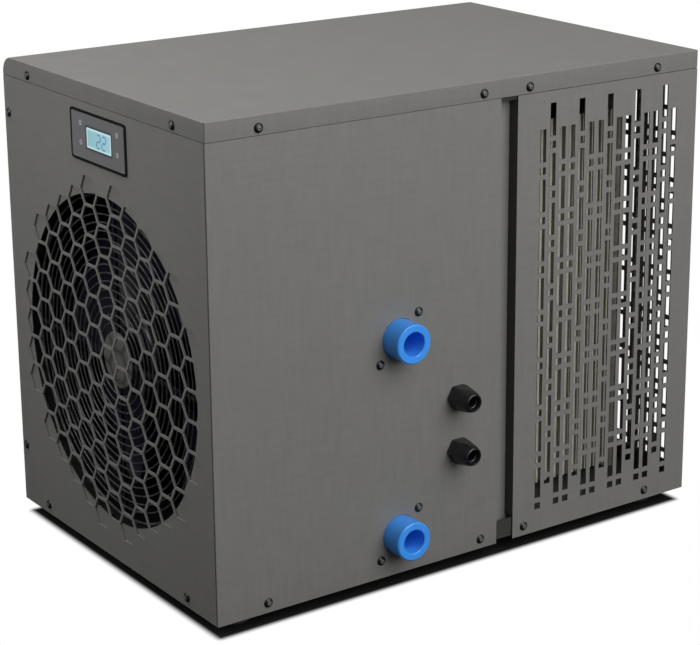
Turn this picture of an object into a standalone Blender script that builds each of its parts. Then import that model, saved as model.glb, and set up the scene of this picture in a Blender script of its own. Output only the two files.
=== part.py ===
"""Pool heat pump: a small sheet-metal cabinet with a fan in its left end.

The left end carries a honeycomb outlet with a ring guard and the fan behind it. The front has
a service panel with two water stubs and two cable glands, an open groove, and a perforated
intake panel. The right end is perforated too. The evaporator stands behind the intake.

Cabinet places are given as x from the left end, y from the front face and z from the floor.
"""
import math

import bmesh
import bpy
from mathutils import Matrix, Vector

# Cabinet
FLOOR_CLEARANCE = 0.0115
SHEET = 0.0012
GAP = 0.0003
BACK_LIP = 0.005
INTAKE_LIP = 0.003
CORNER_SEAM = 0.0007
BEND_STEPS = 3

# Lid
LID_FLANGE = 0.015
LID_SEAM = 0.0005
LID_BACK_BEND = 0.014
LID_BEND_STEPS = 6

# Base pan and feet
PAN_LIFT = 0.0026
PAN_FLANGE = 0.0158
PAN_CORNER = 0.0025
FOOT_RADIUS = 0.015
FOOT_TOP_RADIUS = 0.0125
FOOT_INSET = 0.030
FOOT_SIDES = 16

# The two front panels and the groove between them
SERVICE_WIDTH = 0.2676
INTAKE_WIDTH = 0.1909
GROOVE_WIDTH = 0.0165
GROOVE_DEPTH = 0.0105
POST_LAP = 0.005
POST_FLANGE = 0.018
NOTCH_CLEARANCE = 0.0006

# Perforation
SLOT_WIDTH = 0.006
SLOT_LENGTH = 0.0269
SLOT_BRIDGE = 0.004
COLUMN_PITCH = 0.010
COLUMN_INSET = 0.0248
COLUMN_START = 0.0195

# Fan outlet and the room round it
FAN_OPENING = 0.269
FAN_FRONT_ROOM = 0.0234
FAN_BACK_ROOM = 0.0276
FAN_LOW_ROOM = 0.0335
FAN_TO_DISPLAY = 0.02355
CELL_PITCH = 0.0246
CELL_WEB = 0.0022
CELL_PAST_OPENING = 0.0070

# Shroud and guard
SHROUD_SHEET = 0.0012
SHROUD_MARGIN = 0.010
SHROUD_BELOW_DISPLAY = 0.005
SHROUD_DEPTH = 0.060
SHROUD_MOUTH = 0.008
SHROUD_SIDES = 40
GUARD_SETBACK = 0.0082
GUARD_PITCH = 0.00672
GUARD_WIRE = 0.0018
GUARD_SUNK = 0.0007
GUARD_RING_SIDES = 20
GUARD_HUB_RADIUS = 0.023
GUARD_RIM = 0.0026
GUARD_RIB = 0.003
GUARD_RIB_THICKNESS = 0.002
GUARD_RIBS = 4

# Fan rotor and motor
ROTOR_SETBACK = 0.018
ROTOR_TIP_CLEARANCE = 0.008
ROTOR_HUB_RADIUS = 0.032
ROTOR_HUB_DEPTH = 0.034
ROTOR_NOSE = 0.008
ROTOR_NOSE_FLAT = 0.019
ROTOR_NOSE_EDGE = 0.002
ROTOR_HUB_SIDES = 24
BLADE_SUNK_IN_HUB = 0.006
BLADES = 5
BLADE_DEPTH = 0.030
BLADE_THICKNESS = 0.0026
BLADE_ROOT_SPAN = math.radians(46)
BLADE_TIP_SPAN = math.radians(58)
BLADE_SWEEP = math.radians(22)
BLADE_STATIONS = 5
BLADE_FLATTENING = 0.35
BLADE_CAMBER = 0.003
SHAFT_RADIUS = 0.004
SHAFT_LENGTH = 0.018
MOTOR_CLEARANCE = 0.009
MOTOR_RADIUS = 0.042
MOTOR_LENGTH = 0.066
MOTOR_SIDES = 20
MOTOR_EDGE = 0.0025
MOTOR_BOSS_RADIUS = 0.014
MOTOR_BOSS_LENGTH = 0.004
BORE_DEPTH = 0.012
MOTOR_PLATE_MARGIN = 0.010
MOTOR_PLATE_THICKNESS = 0.002
MOTOR_PLATE_SETBACK = 0.016
RAIL_CLEARANCE = 0.002
RAIL_WIDTH = 0.018
RAIL_DEPTH = 0.014
RAIL_SHEET = 0.0015

# Evaporator
COIL_FROM_FRONT = 0.068
COIL_DEPTH = 0.025
COIL_BELOW_TOP = 0.0575
COIL_LIFT = 0.0045
COIL_END_ROOM = 0.0293
FIN_PITCH = 0.0051
FIN_THICKNESS = 0.0024
FIN_DEPTH = 0.012
COIL_FLANGE = 0.010
COIL_PLATE_RISE = 0.010
TUBE_PITCH = 0.0127
TUBE_RADIUS = 0.0025
TUBE_SIDES = 8
TUBE_BEND_STEPS = 6

# Water stubs
STUB_FROM_GROOVE = 0.0984
UPPER_STUB_ABOVE_EDGE = 0.1966
LOWER_STUB_ABOVE_EDGE = 0.0333
STUB_REACH = 0.0198
STUB_RADIUS = 0.0158
STUB_BORE_RADIUS = 0.0098
STUB_INSIDE = 0.022
STUB_SIDES = 24

# Cable glands
GLAND_FROM_GROOVE = 0.0413
UPPER_GLAND_ABOVE_EDGE = 0.1372
LOWER_GLAND_ABOVE_EDGE = 0.0921
GLAND_FLATS = 0.0192
GLAND_HEX_LENGTH = 0.006
GLAND_CAP_LENGTH = 0.0154
GLAND_CAP_HEX_LENGTH = 0.0075
GLAND_DOME_RADIUS = 0.0094
GLAND_SHOULDER = 0.0045
GLAND_EDGE = 0.0015
GLAND_MOUTH_RADIUS = 0.0073
GLAND_BORE_RADIUS = 0.0054
GLAND_SHANK_RADIUS = 0.0076
GLAND_SHANK_LENGTH = 0.008
GLAND_SIDES = 16

# Display
DISPLAY_TO_TOP = 0.02175
DISPLAY_WIDTH = 0.0877
DISPLAY_HEIGHT = 0.0407
DISPLAY_CORNER = 0.003
DISPLAY_RIM = 0.002
DISPLAY_LAP = 0.001
DISPLAY_RISE = 0.0008
DISPLAY_FACE_THICKNESS = 0.0024
DISPLAY_BOX_DEPTH = 0.016
LCD_WIDTH = 0.0402
LCD_HEIGHT = 0.0163

# Screws
SCREW_RADIUS = 0.00385
SCREW_TOP_RADIUS = 0.0023
SCREW_RISE = 0.0022
SCREW_SIDES = 8
SCREW_INSET = 0.0452
SCREW_BACK_INSET = 0.0438
SCREW_FROM_EDGE = 0.0096
SCREW_BESIDE_GROOVE = 0.0173
SCREW_BESIDE_INTAKE = 0.0116

# Sizes, levels and places that follow from the sizes above
FAN_FROM_FRONT = FAN_FRONT_ROOM + FAN_OPENING / 2
FAN_ABOVE_EDGE = FAN_LOW_ROOM + FAN_OPENING / 2
DISPLAY_ABOVE_EDGE = FAN_ABOVE_EDGE + FAN_OPENING / 2 + FAN_TO_DISPLAY + DISPLAY_HEIGHT / 2
BODY_HEIGHT = DISPLAY_ABOVE_EDGE + DISPLAY_HEIGHT / 2 + DISPLAY_TO_TOP
CABINET_DEPTH = FAN_FROM_FRONT + FAN_OPENING / 2 + FAN_BACK_ROOM
INTAKE_LEFT = SERVICE_WIDTH + GROOVE_WIDTH
CABINET_WIDTH = INTAKE_LEFT + INTAKE_WIDTH
COIL_TOP_ABOVE_EDGE = BODY_HEIGHT - COIL_BELOW_TOP
COIL_END = CABINET_WIDTH - COIL_END_ROOM
MOTOR_PLATE_WIDTH = 2 * (MOTOR_RADIUS + RAIL_CLEARANCE + RAIL_WIDTH)
MOTOR_PLATE_HEIGHT = 2 * (MOTOR_RADIUS + MOTOR_PLATE_MARGIN)
STUB_FROM_LEFT = SERVICE_WIDTH - STUB_FROM_GROOVE
GLAND_FROM_LEFT = SERVICE_WIDTH - GLAND_FROM_GROOVE
PANEL_BOTTOM = FLOOR_CLEARANCE
LID_TOP = PANEL_BOTTOM + BODY_HEIGHT
LID_BOTTOM = LID_TOP - LID_FLANGE
PANEL_TOP = LID_BOTTOM - LID_SEAM
PAN_BOTTOM = PANEL_BOTTOM + PAN_LIFT
PAN_FLOOR = PAN_BOTTOM + SHEET
PAN_TOP = PAN_BOTTOM + PAN_FLANGE
LID_UNDERSIDE = LID_TOP - SHEET
BACK_SEAM = CABINET_DEPTH - BACK_LIP - GAP
FAN_HEIGHT = PANEL_BOTTOM + FAN_ABOVE_EDGE
SLOT_PERIOD = SLOT_LENGTH + SLOT_WIDTH + 2 * SLOT_BRIDGE
SLOT_ROOM = PANEL_TOP - PANEL_BOTTOM - COLUMN_START - SLOT_BRIDGE
SLOT_REPEATS = int((SLOT_ROOM - SLOT_PERIOD / 2) / SLOT_PERIOD)
FRONT_COLUMNS = int((INTAKE_WIDTH - 2 * COLUMN_INSET) / COLUMN_PITCH) + 1
END_COLUMNS = int((COIL_FROM_FRONT + COIL_DEPTH - COLUMN_INSET) / COLUMN_PITCH) + 1
GLAND_REACH = GAP + GLAND_HEX_LENGTH + GAP + GLAND_CAP_LENGTH
FRONT_REACH = max(STUB_REACH, GLAND_REACH)
LEFT_END = -CABINET_WIDTH / 2
FRONT_FACE = (FRONT_REACH - CABINET_DEPTH - SCREW_RISE) / 2

# Finishes: colour, roughness, metallic
GREY_PAINT = ((0.19, 0.187, 0.178), 0.45, 0.0)
DARK_STEEL = ((0.09, 0.09, 0.088), 0.5, 0.6)
BLACK_PLASTIC = ((0.012, 0.012, 0.013), 0.4, 0.0)
BLUE_PLASTIC = ((0.06, 0.22, 0.72), 0.35, 0.0)
FIN_METAL = ((0.42, 0.42, 0.36), 0.4, 0.8)
GALVANISED = ((0.25, 0.25, 0.25), 0.45, 0.7)
RUBBER = ((0.05, 0.05, 0.05), 0.8, 0.0)
BLADE_PLASTIC = ((0.03, 0.034, 0.042), 0.4, 0.0)
DISPLAY_GREY = ((0.21, 0.21, 0.205), 0.4, 0.0)
LCD_GLASS = ((0.45, 0.62, 0.62), 0.15, 0.0)


def place(x, y, z):
    """Turn a cabinet place into the part's frame, whose origin is under the middle of its box."""
    return Vector((x + LEFT_END, y + FRONT_FACE, z))


def material(name, finish):
    """A plain material with the piece's colour, roughness and metallic value."""
    colour, roughness, metallic = finish
    mat = bpy.data.materials.new(name)
    mat.use_nodes = True
    shader = mat.node_tree.nodes["Principled BSDF"]
    shader.inputs["Base Color"].default_value = (*colour, 1.0)
    shader.inputs["Roughness"].default_value = roughness
    shader.inputs["Metallic"].default_value = metallic
    return mat


def make_object(name, bm, finish, smooth_angle=None):
    """Put a mesh in the scene under the piece's name."""
    mesh = bpy.data.meshes.new(name)
    bm.to_mesh(mesh)
    bm.free()
    mesh.materials.append(material(name, finish))
    if smooth_angle:
        mesh.shade_smooth()
        mesh.set_sharp_from_angle(angle=math.radians(smooth_angle))
    obj = bpy.data.objects.new(name, mesh)
    bpy.context.collection.objects.link(obj)
    return obj


def thicken(obj, thickness):
    """Give a skin its sheet thickness on the side away from its normals."""
    sheet = obj.modifiers.new("sheet", "SOLIDIFY")
    sheet.thickness = thickness
    sheet.offset = -1
    sheet.use_even_offset = True
    sheet.use_quality_normals = True


def cut(obj, cutter, operation="DIFFERENCE"):
    """Cut an object by another, or join the two."""
    boolean = obj.modifiers.new(operation.lower(), "BOOLEAN")
    boolean.operation = operation
    boolean.solver = "EXACT"
    boolean.object = cutter
    cutter.hide_render = True
    cutter.display_type = "WIRE"


def weld(bm):
    """Join the points that lie on each other."""
    bmesh.ops.remove_doubles(bm, verts=bm.verts, dist=1e-6)


def face_away(bm, inside):
    """Point an open skin's faces away from a point inside it."""
    bmesh.ops.recalc_face_normals(bm, faces=bm.faces)
    outward = sum(f.calc_area() * f.normal.dot(f.calc_center_median() - inside) for f in bm.faces)
    if outward < 0:
        bmesh.ops.reverse_faces(bm, faces=bm.faces)


def fill_loops(bm, loops):
    """Fill a flat outline, leaving out the loops that lie inside it."""
    edges = []
    for loop in loops:
        verts = [bm.verts.new(point) for point in loop]
        for start, end in zip(verts, verts[1:] + verts[:1]):
            edges.append(bm.edges.new((start, end)))
    bmesh.ops.triangle_fill(bm, edges=edges, use_beauty=True)


def arc_points(centre, radius, start, end, steps):
    """Points of an arc in a plane, from one angle to another, both in degrees."""
    points = []
    for step in range(steps + 1):
        angle = math.radians(start + (end - start) * step / steps)
        points.append((centre[0] + radius * math.cos(angle), centre[1] + radius * math.sin(angle)))
    return points


def circle_loop(centre, radius, sides):
    """A closed round loop in a plane."""
    turn = 2 * math.pi / sides
    return [
        (centre[0] + radius * math.cos(turn * i), centre[1] + radius * math.sin(turn * i))
        for i in range(sides)
    ]


def rectangle_loop(centre, width, height):
    """A closed rectangle in a plane."""
    x, y = centre
    return [
        (x - width / 2, y - height / 2),
        (x + width / 2, y - height / 2),
        (x + width / 2, y + height / 2),
        (x - width / 2, y + height / 2),
    ]


def rounded_loop(centre, width, height, radius):
    """A closed rectangle with rounded corners in a plane."""
    x, y = centre
    across, up = width / 2 - radius, height / 2 - radius
    corners = [((across, up), 0), ((-across, up), 90), ((-across, -up), 180), ((across, -up), 270)]
    loop = []
    for (right, high), start in corners:
        loop += arc_points((x + right, y + high), radius, start, start + 90, BEND_STEPS)
    return loop


def folded_sheet(name, plan, levels, finish, starts=None, cuts=None):
    """A sheet folded along upright lines.

    plan is its outer line seen from above, levels are the heights of its edges and notches,
    starts gives the level where a strip begins, and cuts the loops cut out of a strip, as
    distances along the strip and heights.
    """
    starts = starts or {}
    cuts = cuts or {}
    bm = bmesh.new()
    for index, (start, end) in enumerate(zip(plan, plan[1:])):
        start = Vector(start)
        along = (Vector(end) - start).normalized()
        length = (Vector(end) - start).length
        heights = levels[starts.get(index, 0):]

        def point(distance, height):
            spot = start + along * distance
            return place(spot.x, spot.y, height)

        if index in cuts:
            rim = [point(0, height) for height in heights]
            rim += [point(length, height) for height in reversed(heights)]
            holes = [[point(u, z) for u, z in loop] for loop in cuts[index]]
            fill_loops(bm, [rim] + holes)
            continue
        for low, high in zip(heights, heights[1:]):
            corners = [point(0, low), point(length, low), point(length, high), point(0, high)]
            bm.faces.new([bm.verts.new(corner) for corner in corners])
    weld(bm)
    face_away(bm, place(CABINET_WIDTH / 2, CABINET_DEPTH / 2, LID_TOP / 2))
    obj = make_object(name, bm, finish)
    thicken(obj, SHEET)
    return obj


def turned(name, profile, origin, direction, sides, finish, smooth_angle=40):
    """A turned piece: profile gives distances along the axis and radii."""
    bm = bmesh.new()
    turn_profile(bm, profile, sides)
    obj = make_object(name, bm, finish, smooth_angle)
    axis = Vector(direction).normalized()
    obj.matrix_world = Matrix.Translation(origin) @ axis.to_track_quat("Z", "Y").to_matrix().to_4x4()
    return obj


def turn_profile(bm, profile, sides, closed=False):
    """Spin a profile about Z into a closed skin."""
    verts = [bm.verts.new((radius, 0, along)) for along, radius in profile]
    pairs = list(zip(verts, verts[1:]))
    if closed:
        pairs.append((verts[-1], verts[0]))
    edges = [bm.edges.new(pair) for pair in pairs]
    bmesh.ops.spin(
        bm, geom=verts + edges, cent=(0, 0, 0), axis=(0, 0, 1),
        angle=2 * math.pi, steps=sides, use_merge=True,
    )
    weld(bm)
    bmesh.ops.recalc_face_normals(bm, faces=bm.faces)


def flat_plate(name, loops, x, thickness, finish):
    """A flat plate across the cabinet, from x on, with loops given as y and z."""
    bm = bmesh.new()
    fill_loops(bm, [[place(x, y, z) for y, z in loop] for loop in loops])
    bmesh.ops.recalc_face_normals(bm, faces=bm.faces)
    solid = bmesh.ops.extrude_face_region(bm, geom=bm.faces[:])
    moved = [part for part in solid["geom"] if isinstance(part, bmesh.types.BMVert)]
    bmesh.ops.translate(bm, verts=moved, vec=(thickness, 0, 0))
    bmesh.ops.recalc_face_normals(bm, faces=bm.faces)
    return make_object(name, bm, finish)


def base_pan():
    """The folded tray that everything stands on, just inside the panels."""
    inset = SHEET + GAP
    middle = (CABINET_WIDTH / 2, CABINET_DEPTH / 2)
    outline = rounded_loop(middle, CABINET_WIDTH - 2 * inset, CABINET_DEPTH - 2 * inset, PAN_CORNER)
    bm = bmesh.new()
    floor = bm.faces.new([bm.verts.new(place(x, y, PAN_BOTTOM)) for x, y in outline])
    walls = bmesh.ops.extrude_edge_only(bm, edges=floor.edges[:])
    raised = [part for part in walls["geom"] if isinstance(part, bmesh.types.BMVert)]
    bmesh.ops.translate(bm, verts=raised, vec=(0, 0, PAN_FLANGE))
    face_away(bm, place(CABINET_WIDTH / 2, CABINET_DEPTH / 2, PAN_TOP))
    pan = make_object("base_pan", bm, GREY_PAINT)
    thicken(pan, SHEET)
    bm = bmesh.new()
    bmesh.ops.create_cone(bm, cap_ends=True, segments=STUB_SIDES, radius1=STUB_RADIUS + 2 * GAP,
                          radius2=STUB_RADIUS + 2 * GAP, depth=4 * inset)
    notch = make_object("notch_for_inlet", bm, GREY_PAINT)
    spot = place(STUB_FROM_LEFT, inset, PANEL_BOTTOM + LOWER_STUB_ABOVE_EDGE)
    notch.matrix_world = Matrix.Translation(spot) @ Matrix.Rotation(math.radians(90), 4, "X")
    cut(pan, notch)


def feet():
    """Four round rubber feet under the pan's corners."""
    profile = [
        (0, 0),
        (0, FOOT_RADIUS),
        (PAN_BOTTOM - GAP, FOOT_TOP_RADIUS),
        (PAN_BOTTOM - GAP, 0),
    ]
    for side, x in (("left", FOOT_INSET), ("right", CABINET_WIDTH - FOOT_INSET)):
        for end, y in (("front", FOOT_INSET), ("back", CABINET_DEPTH - FOOT_INSET)):
            turned(f"foot_{end}_{side}", profile, place(x, y, 0), (0, 0, 1), FOOT_SIDES, RUBBER)


def lid():
    """The lid: flanges all round and a wide bend along its back edge."""
    back = CABINET_DEPTH
    bend = arc_points((back - LID_BACK_BEND, LID_TOP - LID_BACK_BEND), LID_BACK_BEND, 90, 0,
                      LID_BEND_STEPS)
    section = [(0, LID_BOTTOM), (0, LID_TOP)] + bend + [(back, LID_BOTTOM)]
    bm = bmesh.new()
    for (y0, z0), (y1, z1) in zip(section, section[1:]):
        strip = [place(0, y0, z0), place(CABINET_WIDTH, y0, z0),
                 place(CABINET_WIDTH, y1, z1), place(0, y1, z1)]
        bm.faces.new([bm.verts.new(corner) for corner in strip])
    for x in (0, CABINET_WIDTH):
        bm.faces.new([bm.verts.new(place(x, y, z)) for y, z in section])
    weld(bm)
    face_away(bm, place(CABINET_WIDTH / 2, CABINET_DEPTH / 2, LID_BOTTOM))
    obj = make_object("lid", bm, GREY_PAINT)
    thicken(obj, SHEET)
    cut(obj, lid_screws(), "UNION")


def perforation(first, columns, way=1):
    """Loops of the intake slots: columns of long and square slots, every third set half up."""
    loops = []
    for column in range(columns):
        u = first + COLUMN_PITCH * column * way
        base = PANEL_BOTTOM + COLUMN_START
        if column % 3 == 1:
            base += SLOT_PERIOD / 2
        for repeat in range(SLOT_REPEATS):
            square = base + SLOT_PERIOD * repeat + SLOT_WIDTH / 2
            slot = square + SLOT_WIDTH / 2 + SLOT_BRIDGE + SLOT_LENGTH / 2
            loops.append(rectangle_loop((u, square), SLOT_WIDTH, SLOT_WIDTH))
            loops.append(rectangle_loop((u, slot), SLOT_WIDTH, SLOT_LENGTH))
    return loops


def service_panel():
    """The plain front panel on the left, with holes for the stubs and the glands."""
    plan = [(0, 0), (SERVICE_WIDTH, 0), (SERVICE_WIDTH, GROOVE_DEPTH)]
    loops = []
    for height in (UPPER_STUB_ABOVE_EDGE, LOWER_STUB_ABOVE_EDGE):
        spot = (STUB_FROM_LEFT, PANEL_BOTTOM + height)
        loops.append(circle_loop(spot, STUB_RADIUS + GAP, STUB_SIDES))
    for height in (UPPER_GLAND_ABOVE_EDGE, LOWER_GLAND_ABOVE_EDGE):
        spot = (GLAND_FROM_LEFT, PANEL_BOTTOM + height)
        loops.append(circle_loop(spot, GLAND_SHANK_RADIUS + GAP, GLAND_SIDES))
    levels = [PANEL_BOTTOM, PAN_TOP + NOTCH_CLEARANCE, PANEL_TOP]
    folded_sheet("service_panel", plan, levels, GREY_PAINT, {1: 1}, {0: loops})


def intake_panel():
    """The perforated front panel on the right, folded round to the right end."""
    plan = [(INTAKE_LEFT, GROOVE_DEPTH), (INTAKE_LEFT, 0), (CABINET_WIDTH, 0),
            (CABINET_WIDTH, INTAKE_LIP)]
    first = CABINET_WIDTH - COLUMN_INSET - INTAKE_LEFT
    loops = perforation(first, FRONT_COLUMNS, way=-1)
    levels = [PANEL_BOTTOM, PAN_TOP + NOTCH_CLEARANCE, PANEL_TOP]
    folded_sheet("intake_panel", plan, levels, GREY_PAINT, {0: 1}, {1: loops})


def side_rim(start):
    """The outline of a side panel that begins at a given y."""
    centre = ((start + BACK_SEAM) / 2, (PANEL_BOTTOM + PANEL_TOP) / 2)
    return rectangle_loop(centre, BACK_SEAM - start, PANEL_TOP - PANEL_BOTTOM)


def end_panel():
    """The right end, perforated beside the evaporator's intake side."""
    rim = side_rim(INTAKE_LIP + GAP)
    loops = perforation(COLUMN_INSET, END_COLUMNS)
    flat_plate("end_panel", [rim] + loops, CABINET_WIDTH - SHEET, SHEET, GREY_PAINT)


def back_panel():
    """The plain back, folded round both back edges."""
    lip = CABINET_DEPTH - BACK_LIP
    plan = [(CABINET_WIDTH, lip), (CABINET_WIDTH, CABINET_DEPTH), (0, CABINET_DEPTH), (0, lip)]
    folded_sheet("back_panel", plan, [PANEL_BOTTOM, PANEL_TOP], GREY_PAINT)


def honeycomb():
    """The outlet's cells: whole hexagons that reach over the round opening behind them."""
    column_pitch = CELL_PITCH * math.sqrt(3) / 2
    corner_radius = (CELL_PITCH - CELL_WEB) / math.sqrt(3)
    reach = FAN_OPENING / 2 + CELL_PAST_OPENING
    count = math.ceil(reach / column_pitch)
    loops = []
    for column in range(-count, count + 1):
        shift = CELL_PITCH / 2 if column % 2 else 0.0
        for row in range(-count, count + 1):
            y = column * column_pitch
            z = row * CELL_PITCH + shift
            if math.hypot(y, z) <= reach:
                spot = (FAN_FROM_FRONT + y, FAN_HEIGHT + z)
                loops.append(circle_loop(spot, corner_radius, 6))
    return loops


def fan_panel():
    """The left end, with the honeycomb and the display's opening."""
    centre = (FAN_FROM_FRONT, PANEL_BOTTOM + DISPLAY_ABOVE_EDGE)
    opening = rectangle_loop(centre, DISPLAY_WIDTH - 2 * DISPLAY_LAP,
                             DISPLAY_HEIGHT - 2 * DISPLAY_LAP)
    rim = side_rim(SHEET + CORNER_SEAM)
    flat_plate("fan_panel", [rim, opening] + honeycomb(), 0, SHEET, GREY_PAINT)


def fan_shroud():
    """The plate behind the honeycomb and its collar round the fan."""
    x = SHEET + GAP
    top = PANEL_BOTTOM + DISPLAY_ABOVE_EDGE - DISPLAY_HEIGHT / 2 - SHROUD_BELOW_DISPLAY
    low = PAN_TOP + NOTCH_CLEARANCE
    width = CABINET_DEPTH - 2 * SHROUD_MARGIN
    plate = rectangle_loop((CABINET_DEPTH / 2, (low + top) / 2), width, top - low)
    centre = (FAN_FROM_FRONT, FAN_HEIGHT)
    radius = FAN_OPENING / 2
    stages = [(x, radius), (x + SHROUD_DEPTH, radius),
              (x + SHROUD_DEPTH + SHROUD_MOUTH / 2, radius + SHROUD_MOUTH / 4),
              (x + SHROUD_DEPTH + SHROUD_MOUTH, radius + SHROUD_MOUTH)]
    rings = [[place(depth, y, z) for y, z in circle_loop(centre, size, SHROUD_SIDES)]
             for depth, size in stages]
    bm = bmesh.new()
    fill_loops(bm, [[place(x, y, z) for y, z in plate], rings[0]])
    for near, far in zip(rings, rings[1:]):
        for i in range(SHROUD_SIDES):
            j = (i + 1) % SHROUD_SIDES
            corners = (near[i], near[j], far[j], far[i])
            bm.faces.new([bm.verts.new(corner) for corner in corners])
    weld(bm)
    bmesh.ops.recalc_face_normals(bm, faces=bm.faces)
    bm.faces.ensure_lookup_table()
    if bm.faces[0].normal.x > 0:
        bmesh.ops.reverse_faces(bm, faces=bm.faces)
    thicken(make_object("fan_shroud", bm, GREY_PAINT), SHROUD_SHEET)


def ring_section(middle, radius):
    """A wire's three-sided section, as distances along the fan's axis and radii."""
    half = GUARD_WIRE / 2
    return [(middle - half, radius), (middle + half, radius + half), (middle + half, radius - half)]


def fan_guard():
    """The guard: wire rings on a spider of ribs with a plain hub disc."""
    front = GUARD_SETBACK
    rim = FAN_OPENING / 2 - GAP
    inner_rim = rim - GUARD_RIM
    centre = (FAN_FROM_FRONT, FAN_HEIGHT)
    bm = bmesh.new()
    radius = GUARD_HUB_RADIUS + GUARD_PITCH
    while radius + GUARD_WIRE < inner_rim:
        ring = bmesh.new()
        turn_profile(ring, ring_section(GUARD_WIRE / 2, radius), GUARD_RING_SIDES, closed=True)
        mesh = bpy.data.meshes.new("ring")
        ring.to_mesh(mesh)
        ring.free()
        bm.from_mesh(mesh)
        bpy.data.meshes.remove(mesh)
        radius += GUARD_PITCH
    rings = make_object("rings_for_guard", bm, GALVANISED)
    rings.matrix_world = Matrix.Translation(place(front, *centre)) @ Matrix.Rotation(
        math.radians(90), 4, "Y")
    hub = circle_loop(centre, GUARD_HUB_RADIUS, GUARD_RING_SIDES)
    disc = flat_plate("hub_for_guard", [hub], front, GUARD_WIRE, GREY_PAINT)
    windows = []
    sector = 2 * math.pi / GUARD_RIBS
    steps = GUARD_RING_SIDES // GUARD_RIBS
    inner = GUARD_HUB_RADIUS - GUARD_RIM
    for rib in range(GUARD_RIBS):
        window = []
        for size, order in ((inner_rim, 1), (inner, -1)):
            inset = math.asin(GUARD_RIB / 2 / size)
            angles = [rib * sector + inset + (sector - 2 * inset) * k / steps
                      for k in range(steps + 1)]
            for angle in angles[::order]:
                window.append((centre[0] + size * math.cos(angle),
                               centre[1] + size * math.sin(angle)))
        windows.append(window)
    outer = circle_loop(centre, rim, SHROUD_SIDES)
    behind = front + GUARD_WIRE - GUARD_SUNK
    guard = flat_plate("fan_guard", [outer] + windows, behind, GUARD_RIB_THICKNESS, BLACK_PLASTIC)
    cut(guard, rings, "UNION")
    cut(guard, disc, "UNION")


def blade_points(station, root, tip):
    """The six corners of a blade's section at one radius, round the X axis."""
    share = station / (BLADE_STATIONS - 1)
    radius = root + (tip - root) * share
    span = BLADE_ROOT_SPAN + (BLADE_TIP_SPAN - BLADE_ROOT_SPAN) * share
    middle = BLADE_SWEEP * share
    twist = 1 - BLADE_FLATTENING * share
    points = []
    for face in (-0.5, 0.5):
        row = []
        for chord in (-0.5, 0.0, 0.5):
            angle = middle + span * chord
            camber = BLADE_CAMBER * (1 - (2 * chord) ** 2)
            along = BLADE_DEPTH * (0.5 + chord * twist) + camber + face * BLADE_THICKNESS
            row.append((along, radius * math.cos(angle), radius * math.sin(angle)))
        points += row if face < 0 else row[::-1]
    return points


def blade_mesh(bm, turn, root, tip):
    """One blade, lofted from its root inside the hub to its tip."""
    spin = Matrix.Rotation(turn, 4, "X")
    sections = []
    for station in range(BLADE_STATIONS):
        section = [bm.verts.new(spin @ Vector(point)) for point in blade_points(station, root, tip)]
        sections.append(section)
    corners = len(sections[0])
    for inner, outer in zip(sections, sections[1:]):
        for i in range(corners):
            j = (i + 1) % corners
            bm.faces.new((inner[i], inner[j], outer[j], outer[i]))
    for end in (sections[0], sections[-1]):
        bm.faces.new((end[0], end[1], end[4], end[5]))
        bm.faces.new((end[1], end[2], end[3], end[4]))


def fan_rotor():
    """The fan: blades on a hub, and the shaft that the motor carries."""
    x = GUARD_SETBACK + GUARD_WIRE + GAP + GUARD_RIB_THICKNESS + ROTOR_SETBACK
    spot = place(x, FAN_FROM_FRONT, FAN_HEIGHT)
    root = ROTOR_HUB_RADIUS - BLADE_SUNK_IN_HUB
    tip = FAN_OPENING / 2 - ROTOR_TIP_CLEARANCE
    bm = bmesh.new()
    for blade in range(BLADES):
        blade_mesh(bm, 2 * math.pi * blade / BLADES, root, tip)
    bmesh.ops.recalc_face_normals(bm, faces=bm.faces)
    blades = make_object("blades_for_rotor", bm, BLADE_PLASTIC)
    blades.location = spot
    profile = [
        (-ROTOR_NOSE, 0),
        (-ROTOR_NOSE, ROTOR_NOSE_FLAT),
        (-ROTOR_NOSE / 2, ROTOR_HUB_RADIUS - ROTOR_NOSE_EDGE),
        (0, ROTOR_HUB_RADIUS),
        (ROTOR_HUB_DEPTH, ROTOR_HUB_RADIUS),
        (ROTOR_HUB_DEPTH, SHAFT_RADIUS),
        (ROTOR_HUB_DEPTH + SHAFT_LENGTH, SHAFT_RADIUS),
        (ROTOR_HUB_DEPTH + SHAFT_LENGTH, 0),
    ]
    hub = turned("fan_rotor", profile, spot, (1, 0, 0), ROTOR_HUB_SIDES, BLADE_PLASTIC)
    cut(hub, blades, "UNION")
    return x


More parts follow.
